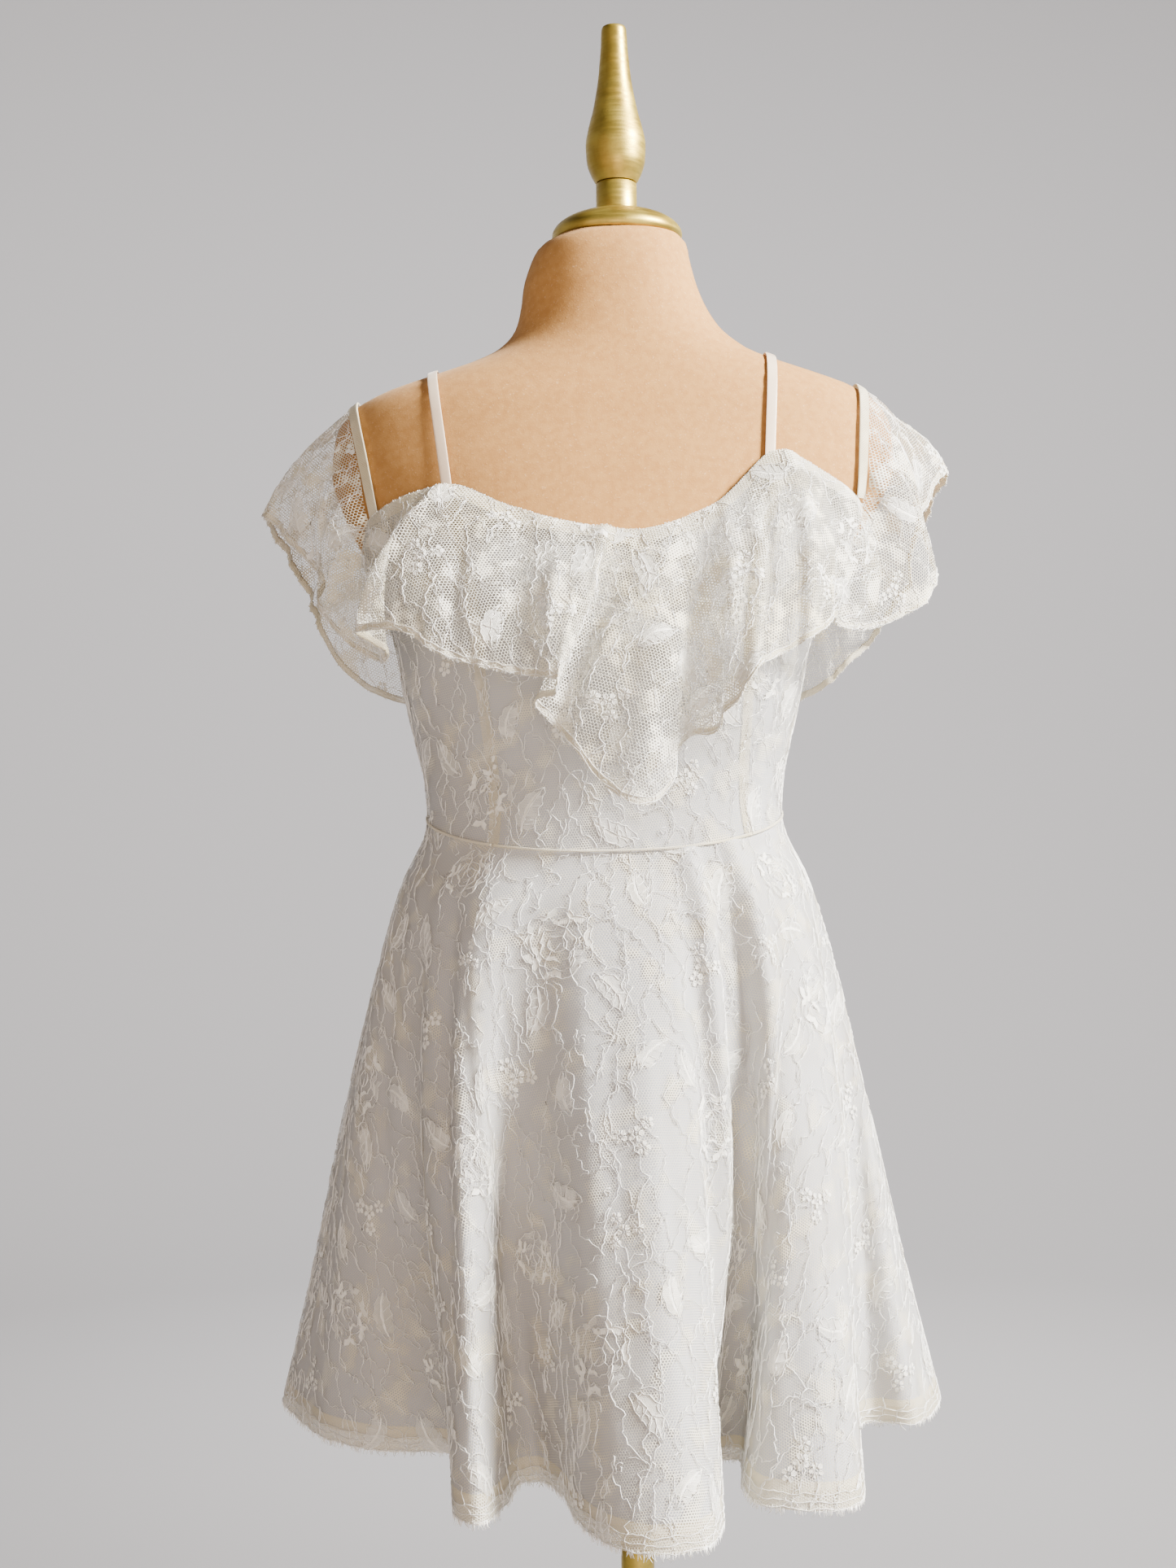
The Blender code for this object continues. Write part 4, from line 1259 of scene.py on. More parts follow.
class LaceDesign:
    """One repeat of a common floral corded lace: cords, clothwork and half-stitch patches."""

    SCALE = 0.75
    WIDTH = 0.300 * SCALE
    HEIGHT = 0.360 * SCALE
    STEP = 0.0028
    STEMS = 3
    MESH_COLUMNS = 13
    MESH_ROWS = 12
    KNOT_SHAKE = 0.20
    BEND = 0.15
    BEND_POINTS = 17
    GAP_CHANCE = 0.24
    TWIN_CHANCE = 0.25
    SPUR_CHANCE = 0.5

    def __init__(self) -> None:
        """Draw the repeat with seeded small irregularities."""
        self.random = np.random.default_rng(DESIGN_SEED)
        self.cords: list[Array] = []
        self.patches: list[Patch] = []
        makers = {
            Motif.CLUSTER: self.cluster,
            Motif.ROSE: self.rose,
            Motif.LEAF: self.leaf,
            Motif.LOOP: self.loop,
        }
        for motif, spots in REPEAT_SPOTS.items():
            for spot in spots:
                centre = np.array([spot.x, spot.y]) * MM * self.SCALE
                makers[motif](centre, spot.size * MM * self.SCALE, math.radians(spot.turn))
        self.stems()
        self.ground()

    def wander(self, path: Array, amount: float = 0.0010) -> None:
        """Add a cord along a path, with the small kinks that couched cord has."""
        path = spaced(path, self.STEP)
        shake = self.random.normal(0, amount, path.shape)
        self.cords.append(path + shake)

    def ring(self, centre: Array, radius: Callable[[Array], Array], turn: float, steps: int = 40) -> Array:
        """A closed outline whose radius depends on its angle."""
        angle = np.linspace(0, 2 * math.pi, steps + 1)
        return centre + radius(angle)[:, None] * toward(angle + turn)

    def fan(self, outline: Array, work: Work) -> None:
        """Add a patch that fills a round outline."""
        count = len(outline) - 1
        spots = np.concatenate([outline[:-1].mean(axis=0)[None], outline[:-1]])
        faces = np.array([[0, 1 + i, 1 + (i + 1) % count] for i in range(count)])
        self.patches.append(Patch(spots, faces, work))

    def between(self, first: Array, second: Array, work: Work) -> None:
        """Add a patch between two lines with as many points each."""
        count = len(first)
        spots = np.concatenate([first, (first + second) / 2, second])
        self.patches.append(Patch(spots, triangles(grid_faces(3, count)), work))

    def floret(self, centre: Array, size: float, turn: float) -> None:
        """A five-petalled floret with a ring at its middle."""
        for k in range(5):
            angle = turn + 2 * math.pi * k / 5
            middle = centre + 0.33 * size * toward(angle)
            petal = self.ring(middle, lambda a: size * (0.175 + 0.02 * np.cos(2 * a)), angle, 12)
            self.fan(petal, Work.CLOSE)
            self.wander(petal[2:-2], 0.0002)
        self.wander(self.ring(centre, lambda a: size * 0.10 + 0 * a, turn, 12), 0.0001)

    def cluster(self, centre: Array, size: float, turn: float) -> None:
        """Four florets set close together."""
        for k, reach in enumerate((0.0, 1.0, 1.02, 0.98)):
            angle = turn + 1.9 * k
            self.floret(centre + reach * size * toward(angle), size * (1 - 0.06 * k), angle)

    def rose(self, centre: Array, size: float, turn: float) -> None:
        """A rose of nested scalloped outlines with close-worked petal edges."""
        for k, (share, lobes) in enumerate(((1.0, 7), (0.74, 6), (0.5, 5), (0.26, 3))):
            spin = turn + 0.7 * k

            def radius(angle: Array) -> Array:
                """The outline's radius, with a scallop for each petal."""
                return size / 2 * share * (0.84 + 0.18 * np.abs(np.cos(lobes * angle / 2)) ** 0.7)

            outline = self.ring(centre, radius, spin, 16 * lobes)
            self.wander(outline, 0.0008)
            inner = centre + (outline - centre) * 0.80
            for start in range(0, lobes, 2 if k else 1):
                chosen = slice(16 * start + 2, 16 * start + 13)
                self.between(outline[chosen], inner[chosen], Work.CLOSE if (start + k) % 3 else Work.HALF)

    def leaf(self, centre: Array, size: float, turn: float) -> None:
        """A leaf with a midrib, one half worked close and the other veined."""
        t = np.linspace(0, 1, 19)
        way = toward(turn)
        side = np.array([-way[1], way[0]])
        bow = 0.10 * size * np.sin(math.pi * t)
        spine = centre + ((t - 0.5) * size)[:, None] * way + bow[:, None] * side
        half = 0.21 * size * np.sin(math.pi * t**0.85) ** 0.8
        ripple = 1 + 0.12 * np.sin(9 * math.pi * t)
        left, right = spine + (half * ripple)[:, None] * side, spine - (half * ripple)[:, None] * side
        self.wander(np.concatenate([left, right[::-1]]), 0.0006)
        self.wander(spine, 0.0004)
        near, mid = spine + 0.05 * (left - spine), spine + 0.30 * (left - spine)
        self.between(near[2:-2], mid[2:-2], Work.CLOSE)
        self.between(mid[3:-3], left[3:-3], Work.HALF)
        self.between(spine[3:-3], (spine + 0.9 * (right - spine))[3:-3], Work.HALF)
        for k in (4, 7, 10, 13):
            self.wander(np.array([spine[k], right[min(k + 2, 18)]]), 0.0002)

    def loop(self, centre: Array, size: float, turn: float) -> None:
        """An open loop of cord with a curled tail."""
        t = np.linspace(0, 1, 30)
        angle = turn + 7.4 * t
        radius = size * (0.5 - 0.34 * t)
        self.wander(centre + radius[:, None] * toward(angle), 0.0003)

    def stems(self) -> None:
        """Long stems that run up the repeat with curled side shoots."""
        t = np.linspace(0, 1, 90)
        for k in range(self.STEMS):
            x = (k + 0.5) / self.STEMS * self.WIDTH
            swing = 0.014 * np.sin(2 * math.pi * t + 1.7 * k) + 0.007 * np.sin(4 * math.pi * t + 0.9 * k)
            path = np.stack([x + swing, t * self.HEIGHT], axis=1)
            self.wander(path, 0.0011)
            for place in range(8 + 7 * (k % 2), 85, 14):
                turn = self.random.uniform(0.3, 1.1) * (-1) ** (place % 2)
                reach = self.random.uniform(0.010, 0.020)
                curl = np.linspace(0, 1, 8)
                heading = math.pi / 2 + turn + 2.2 * turn * curl
                shoot = np.cumsum(toward(heading) * reach / 8, axis=0)
                self.wander(path[place] + shoot, 0.0004)

    def kinked(self, start: Array, end: Array) -> Array:
        """A crooked line between two points, bent again at each halving."""
        line = np.array([start, end])
        while len(line) < self.BEND_POINTS:
            middle = (line[1:] + line[:-1]) / 2
            reach = np.linalg.norm(line[1:] - line[:-1], axis=1, keepdims=True)
            middle = middle + self.random.normal(0, self.BEND, middle.shape) * reach
            woven = np.empty((2 * len(line) - 1, 2))
            woven[::2], woven[1::2] = line, middle
            line = woven
        return line

    def ground(self) -> None:
        """A crooked network of tall cells that fills the repeat and meets at its edges."""
        step = np.array([self.WIDTH / self.MESH_COLUMNS, self.HEIGHT / self.MESH_ROWS])
        shake = self.random.normal(0, self.KNOT_SHAKE, (self.MESH_ROWS, self.MESH_COLUMNS, 2))

        def knot(column: int, row: int) -> Array:
            """Where a knot of the network lies."""
            nudge = shake[row % self.MESH_ROWS, column % self.MESH_COLUMNS]
            return (np.array([column + 0.5 * (row % 2), row]) + nudge) * step

        for row in range(self.MESH_ROWS):
            for column in range(self.MESH_COLUMNS):
                here = knot(column, row)
                for side in (0, 1) if row % 2 else (-1, 0):
                    if self.random.random() < self.GAP_CHANCE:
                        continue
                    path = self.kinked(here, knot(column + side, row + 1))
                    self.wander(path, 0.0007)
                    if self.random.random() < self.TWIN_CHANCE:
                        self.wander(path[3:15] + self.random.normal(0, 0.0014, 2), 0.0006)
                if self.random.random() < self.SPUR_CHANCE:
                    self.wander(self.kinked(here, here + self.random.normal(0, 0.007, 2)), 0.0004)


@dataclass
class LaceWork:
    """Lays the lace's repeat on a panel."""

    design: LaceDesign
    cord_radius: float = 0.00027
    cord_lift: float = 0.00018
    patch_lift: float = 0.00010

    def copies(self, panel: Panel, shift: Pair) -> Array:
        """Where the repeat's corner falls for each copy that the panel's cut needs."""
        size = np.array([self.design.WIDTH, self.design.HEIGHT])
        flat = panel.flat.reshape(-1, 2)
        low = np.floor((flat.min(axis=0) - shift) / size).astype(int)
        high = np.ceil((flat.max(axis=0) - shift) / size).astype(int)
        corners = [(i, j) for i in range(low[0], high[0]) for j in range(low[1], high[1])]
        return np.array(corners) * size + np.array(shift)

    def lay(self, panel: Panel, shift: Pair) -> list[bpy.types.Object]:
        """Make a panel's cords and worked patches.

        Args:
            panel: The cloth.
            shift: Where the repeat starts on its cut.

        Returns:
            The pieces.
        """
        corners = self.copies(panel, shift)
        return [self.lay_cords(panel, corners)] + self.lay_patches(panel, corners)

    def lay_cords(self, panel: Panel, corners: Array) -> bpy.types.Object:
        """The panel's cords as one piece."""
        random = np.random.default_rng(CORD_SEED)
        spots = np.concatenate(self.design.cords)
        number = np.repeat(np.arange(len(self.design.cords)), [len(cord) for cord in self.design.cords])
        every = (spots[None] + corners[:, None]).reshape(-1, 2)
        runs = (number[None] + len(self.design.cords) * np.arange(len(corners))[:, None]).ravel()
        found, points, normals = panel.place(every)
        gaps = np.diff(np.flatnonzero(found)) > 1
        breaks = np.concatenate([[True], gaps | (np.diff(runs[found]) != 0)])
        runs = np.cumsum(breaks)
        long_enough = np.bincount(runs)[runs] > 2
        points, normals, runs = points[long_enough], normals[long_enough], runs[long_enough]
        slubs = random.uniform(0.6, 1.6, len(points))
        radius = self.cord_radius * slubs
        return make_tubes(panel.name + "_cords", points, normals, runs, radius, self.cord_lift)

    def edging(self, panel: Panel, reaches: Iterable[float]) -> bpy.types.Object:
        """Kinked cords that run along a panel's hem.

        Args:
            panel: The cloth.
            reaches: How far in from the hem each cord runs.

        Returns:
            The cords, as one piece.
        """
        random = np.random.default_rng(EDGING_SEED)
        length = panel.down[-1]
        points, normals = [], []
        for reach in reaches:
            wave = 0.0007 * np.sin(np.arange(len(length)) * 0.9 + 300 * reach)
            sway = wave + random.normal(0, 0.0003, len(length))
            points.append(panel.row_at(panel.points, length - reach - sway))
            normals.append(panel.row_at(panel.normals, length - reach))
        runs = np.repeat(np.arange(len(points)), len(length))
        radius = self.cord_radius * random.uniform(0.8, 1.7, len(runs))
        points, normals = np.concatenate(points), unit(np.concatenate(normals))
        return make_tubes(panel.name + "_edging", points, normals, runs, radius, self.cord_lift)

    def lay_patches(self, panel: Panel, corners: Array) -> list[bpy.types.Object]:
        """The panel's worked patches, one piece for each way of working."""
        made = []
        for work, finish, ending in WORKED:
            chosen = [patch for patch in self.design.patches if patch.work is work]
            spots = np.concatenate([patch.spots for patch in chosen])
            starts = np.cumsum([0] + [len(patch.spots) for patch in chosen[:-1]])
            faces = np.concatenate([patch.faces + start for patch, start in zip(chosen, starts)])
            every = (spots[None] + corners[:, None]).reshape(-1, 2)
            faces = (faces[None] + len(spots) * np.arange(len(corners))[:, None, None]).reshape(-1, 3)
            found, points, normals = panel.place(every)
            renumber = np.cumsum(found) - 1
            faces = renumber[faces[found[faces].all(axis=1)]]
            used, faces = np.unique(faces, return_inverse=True)
            faces = faces.reshape(-1, 3)
            points = (points + self.patch_lift * normals)[used]
            a, b, c = (points[faces[:, k]] for k in range(3))
            inward = (np.cross(b - a, c - a) * normals[used][faces[:, 0]]).sum(axis=1) < 0
            faces[inward] = faces[inward][:, ::-1]
            made.append(make_piece(panel.name + ending, points, faces, finish, every[found][used]))
        return made


def declare(
    piece: bpy.types.Object,
    panel: Panel,
) -> None:
    """Hide the solid of a lace or lining piece's name, which the piece replaces, and log the size of its
    cut.

    Args:
        piece: The piece. Not used.
        panel: Its cloth.
    """
    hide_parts(panel.name)
    width, length, area = panel.cut()
    LOG.info("%s: cut %.0f x %.0f mm, %.3f m2", panel.name, width / MM, length / MM, area)


class TurnPoint(NamedTuple):
    """A point of a turned outline: height and radius."""

    height: float
    radius: float


FINIAL = table(
    TurnPoint,
    (0.1155, 0.007), (0.1149, 0.0084), (0.1125, 0.0092), (0.1, 0.0099), (0.088, 0.011), (0.076, 0.0123),
    (0.064, 0.0143), (0.052, 0.0168), (0.04, 0.02), (0.028, 0.0221), (0.016, 0.0215), (0.006, 0.0185),
    (0.0, 0.0152),
)


@dataclass
class TurnedStand:
    """The base, the pole and the turned wood on the neck."""

    base_radius: float = 0.160
    base_height: float = 0.022
    base_edge: float = 0.006
    pole_radius: float = 0.0122
    cap_radius: float = 0.0480
    cap_height: float = 0.022
    cap_rim: float = 0.004
    collar_radius: float = 0.0150
    collar_height: float = 0.0210
    sides: int = 72

    def lathe(self, name: str, profile: Iterable[Pair]) -> None:
        """A turned piece from radius and height points that run from top to bottom."""
        grid = turned(np.array(profile), self.sides)
        make_solid(name, grid, Finish.GOLD, 48)

    def build(self) -> None:
        """Make all the turned pieces."""
        edge, wide, high = self.base_edge, self.base_radius, self.base_height
        turn = np.radians(np.linspace(0, 90, 9))
        rim = [(wide - edge + edge * math.sin(a), high - edge + edge * math.cos(a)) for a in turn]
        self.lathe("base", rim + [(wide, MM), (wide - MM, 0.0)])
        self.lathe("pole", [(self.pole_radius, FORM_BOTTOM - SEAT), (self.pole_radius, high + SEAT)])
        low = NECK_TOP + SEAT
        flat = math.radians(18)
        rise = (self.cap_height - self.cap_rim) / math.cos(flat)
        wide = self.cap_radius
        turn = np.linspace(flat, math.pi / 2, 17)
        dome = [(wide * math.sin(a), low + self.cap_rim + rise * math.cos(a)) for a in turn]
        under = [(wide - 0.0004, low + 0.0018), (wide - 0.0016, low + 0.0005), (wide - 0.003, low)]
        self.lathe("neck_cap", dome + under)
        low += self.cap_height + SEAT
        high = low + self.collar_height
        wide = self.collar_radius
        self.lathe("finial_collar", [(wide - MM, high), (wide, high - MM), (wide, low)])
        low = high + SEAT
        heights = np.array([point.height for point in FINIAL[::-1]])
        radii = [point.radius for point in FINIAL[::-1]]
        fine = np.concatenate([np.linspace(0, 0.1125, 60), [0.1138, 0.1149, 0.1155]])
        outline = np.stack([monotone(heights, radii, fine), low + fine], axis=1)
        self.lathe("finial", outline[::-1])


@dataclass
class DressForm:
    """The torso under its jersey cover."""

    columns: int = 120
    rows: int = 150

    def build(self) -> None:
        """Loft the torso and close its underside and neck."""
        height = np.linspace(NECK_TOP, FORM_BOTTOM, self.rows)[:, None]
        angle = np.linspace(0, 2 * math.pi, self.columns, endpoint=False)[None]
        make_solid("form_body", FORM.point(height, angle), Finish.JERSEY, 50)


@dataclass
class Bodice:
    """Five lace panels over a lining, with the seam allowances that show through."""

    work: LaceWork
    rows: int = 48
    allowance: float = 0.0045
    welt: Pair = (0.0019, 0.0001)
    shift: Pair = (0.071, 0.043)
    overlap: float = 0.0014
    lace_out: float = LACE_OUT + 0.0005
    seam_out: float = LINING_OUT + 0.0003
    lining_out: float = LINING_OUT - 0.0004

    def grid(self, pieces: Iterable[BodicePiece], out: float) -> Array:
        """The points of neighbouring panels, at a distance out from the form."""
        pieces = list(pieces)
        steps = [np.linspace(0, 1, p.columns + 1)[int(i > 0) :] for i, p in enumerate(pieces)]
        spans = [((p.waist_start, p.waist_end), (p.top_start, p.top_end)) for p in pieces]
        low_angle, high_angle = (
            np.radians(np.concatenate([a + (b - a) * s for (a, b), s in zip(level, steps)]))
            for level in zip(*spans)
        )
        share = np.linspace(0, 1, self.rows + 1)[:, None]
        angle = high_angle + (low_angle - high_angle) * share
        high, low = upper_edge(high_angle), waist_height(low_angle) - self.overlap
        return FORM.out(high + (low - high) * share, angle, out)

    def seam(self, name: str, panel: Panel, column: int) -> bpy.types.Object:
        """A strip of doubled lace beside a seam, on the panel's inner side."""
        edge = panel.points[:, column]
        beside = panel.points[:, 1 if column == 0 else -2]
        way = unit(beside - edge)
        inner = -(self.lace_out - self.seam_out) * panel.normals[:, column]
        shares = np.linspace(0, 1, 4)
        grid = np.stack([edge + inner + way * self.allowance * s for s in shares], axis=1)
        steps = [np.array([self.allowance * s, 0]) for s in shares]
        cut = np.stack([panel.flat[:, column] + step for step in steps], axis=1)
        if column != 0:
            grid, cut = grid[:, ::-1], cut[:, ::-1]
        return make_piece(name, grid, grid_faces(*grid.shape[:2]), Finish.DOUBLE_NET, cut)

    def build(self) -> None:
        """Make the panels, the linings and the seams."""
        for number, piece in enumerate(BODICE_PIECES):
            panel = Panel(piece.name, self.grid([piece], self.lace_out))
            lace = panel.build(Finish.NET)
            extras = self.work.lay(panel, (self.shift[0] * number, self.shift[1] * number))
            extras.append(self.seam(piece.name + "_seam_start", panel, 0))
            extras.append(self.seam(piece.name + "_seam_end", panel, -1))
            welt = panel.strip("_welt", Edge.HEM, self.welt, 0.0006, Finish.DOUBLE_NET, 0.0009)
            extras.append(welt)
            declare(lace, panel)
        for side, pieces in (("front", BODICE_PIECES[:3]), ("back", BODICE_PIECES[3:])):
            panel = Panel("lining_bodice_" + side, self.grid(pieces, self.lining_out))
            declare(panel.build(Finish.LINING), panel)


SKIRT_CREASES = {
    "front": table(
        Crease,
        (0.05, 0.1, 1.1, 0.0, 0.012, 0.003), (0.1, 0.0, 0.9, 0.01, 0.01, -0.0035),
        (0.17, 0.05, 0.8, 0.0, 0.013, -0.005), (0.25, 0.05, 0.9, 0.0, 0.012, -0.007),
        (0.3, 0.0, 1.0, 0.0, 0.013, 0.009), (0.338, 0.0, 1.0, 0.0, 0.012, 0.0055),
        (0.405, 0.05, 0.9, 0.0, 0.012, -0.002), (0.475, 0.1, 1.1, 0.0, 0.018, -0.006),
        (0.515, 0.3, 1.0, 0.0, 0.007, -0.0018), (0.55, 0.05, 1.1, 0.0, 0.012, 0.0065),
        (0.604, -0.05, 0.8, 0.0, 0.009, 0.0095), (0.642, 0.0, 0.6, 0.01, 0.011, -0.011),
        (0.692, -0.05, 0.75, 0.0, 0.01, 0.009), (0.735, 0.1, 0.9, 0.0, 0.012, 0.003),
        (0.785, 0.2, 1.0, 0.0, 0.009, -0.0024), (0.825, 0.1, 0.8, 0.0, 0.01, 0.004),
        (0.905, 0.1, 0.85, 0.01, 0.012, -0.007), (0.965, 0.1, 1.0, 0.0, 0.011, 0.003),
    ),
    "back": table(
        Crease,
        (0.08, 0.1, 1.0, 0.0, 0.011, -0.004), (0.14, 0.1, 0.9, 0.0, 0.012, 0.004),
        (0.22, 0.0, 0.8, 0.01, 0.012, -0.006), (0.33, 0.1, 0.9, 0.0, 0.012, 0.005),
        (0.42, 0.05, 0.8, 0.0, 0.012, -0.006), (0.51, 0.1, 0.9, 0.0, 0.013, 0.005),
        (0.6, 0.05, 0.8, -0.01, 0.012, -0.006), (0.71, 0.1, 0.9, 0.0, 0.012, 0.0045),
        (0.81, 0.1, 0.8, 0.01, 0.012, -0.0055), (0.9, 0.2, 1.0, 0.0, 0.011, 0.0035),
    ),
}


@dataclass
class Skirt:
    """The flared skirt: lace over lining, front and back."""

    work: LaceWork
    rows: int = 64
    front_columns: int = 336
    back_columns: int = 252
    seat_share: float = 0.10
    lace_gap: float = 0.0010
    flute_reach: float = 0.05
    hem_tape: Pair = (0.009, 0.0001)
    edge_band: Pair = (0.013, 0.0006)
    edge_cords: tuple[float, ...] = (0.0012, 0.0055, 0.0105)
    fringe: Pair = (0.0008, 0.0040)

    def columns(self) -> list[tuple[str, Array, Array]]:
        """For the front and the back, the hem's points and the waist angles they hang from."""
        points = np.array([(p.x, p.y) for p in FRONT_HEM + BACK_HEM]) * MM
        curve, place = closed_spline(points)
        split = len(FRONT_HEM) - 1
        halves = []
        for side, chosen, start, count in (
            ("front", place <= split, SIDE_SEAM, self.front_columns),
            ("back", place >= split, SIDE_SEAM + 180, self.back_columns),
        ):
            angles = np.radians(np.linspace(start, start + 180, count + 1))
            halves.append((side, evenly(curve[chosen], count), angles))
        return halves

    def grid(self, hem: Array, angle: Array, creases: Iterable[Crease]) -> Array:
        """The skirt's points midway between lace and lining, from the waist seam to the hem.

        Args:
            hem: The hem's points from above.
            angle: The waist angles that they hang from.
            creases: The soft folds between the flutes.

        Returns:
            The points.
        """
        top = waist_height(angle) - WAIST_TILT
        fall = np.linspace(0, 1, self.rows + 1)[:, None]
        height = top + (HEM_HEIGHT - top) * fall
        seated = smooth_step(fall / self.seat_share)[..., None]
        plain = SKIRT.point(height, angle[None])
        close = FORM.out(height, angle[None], LINING_OUT + LAYER_GAP / 2)
        plain = close + (plain - close) * seated
        foot = SKIRT.point(np.full_like(angle, HEM_HEIGHT), angle)[:, :2]
        middle = np.array([SKIRT_RINGS[0].middle_x, 0])
        flute = hem + middle - foot
        outward = np.linalg.norm(hem, axis=1) - np.linalg.norm(foot - middle, axis=1)
        lean = np.clip(outward / self.flute_reach, -1, 1)
        power = (FLUTE_OUT_POWER + FLUTE_IN_POWER) / 2 + lean * (FLUTE_OUT_POWER - FLUTE_IN_POWER) / 2
        plain[..., :2] += fall[..., None] ** power[None, :, None] * flute
        plain = creased(plain, creases)
        least = LINING_OUT + (SKIRT_CLEARANCE - LINING_OUT) * seated[..., 0]
        plain[1:] = FORM.clear(plain[1:], least[1:])
        return plain

    def build(self) -> None:
        """Make lace and lining, front and back."""
        for number, (side, hem, angle) in enumerate(self.columns()):
            grid = self.grid(hem, angle, SKIRT_CREASES[side])
            normals = grid_normals(grid)
            panel = Panel("skirt_" + side, grid + self.lace_gap / 2 * normals)
            lace = panel.build(Finish.NET)
            extras = self.work.lay(panel, (0.02 + 0.11 * number, 0.03))
            extras.append(make_fringe(panel, Edge.HEM, 0.0012, self.fringe))
            extras.append(panel.strip("_edge", Edge.HEM, self.edge_band, -0.0006, Finish.DOUBLE_NET))
            extras.append(self.work.edging(panel, self.edge_cords))
            declare(lace, panel)
            inner = grid[::2, ::2] - self.lace_gap / 2 * normals[::2, ::2]
            lining = Panel("lining_skirt_" + side, self.shortened(inner))
            tape = lining.strip("_hem", Edge.HEM, self.hem_tape, 0.0003, Finish.HEM_TAPE)
            inside = lining.build(Finish.LINING)
            declare(inside, lining)

    @staticmethod
    def shortened(grid: Array) -> Array:
        """The lining's points, drawn up along their ribs so that its hem lies above the lace's."""
        length = np.linalg.norm(np.diff(grid, axis=0), axis=-1).sum(axis=0)
        share = (1 - LINING_RISE / length)[None]
        return rows_between(grid, np.linspace(0, 1, len(grid))[:, None] * share * (len(grid) - 1))


class RibbonCloth(NamedTuple):
    """A ribbon's width, wall, finish and slot, and how far its ends run on under the neckline."""

    width: float
    wall: float
    finish: Finish
    slot: str
    tuck: float


BAND_CLOTH = RibbonCloth(BAND_WIDTH, BAND_WALL, Finish.DOUBLE_NET, "ivory_lace", 0.010)
STRAP_CLOTH = RibbonCloth(STRAP_WIDTH, STRAP_WALL, Finish.SATIN, "ivory_satin", 0.004)


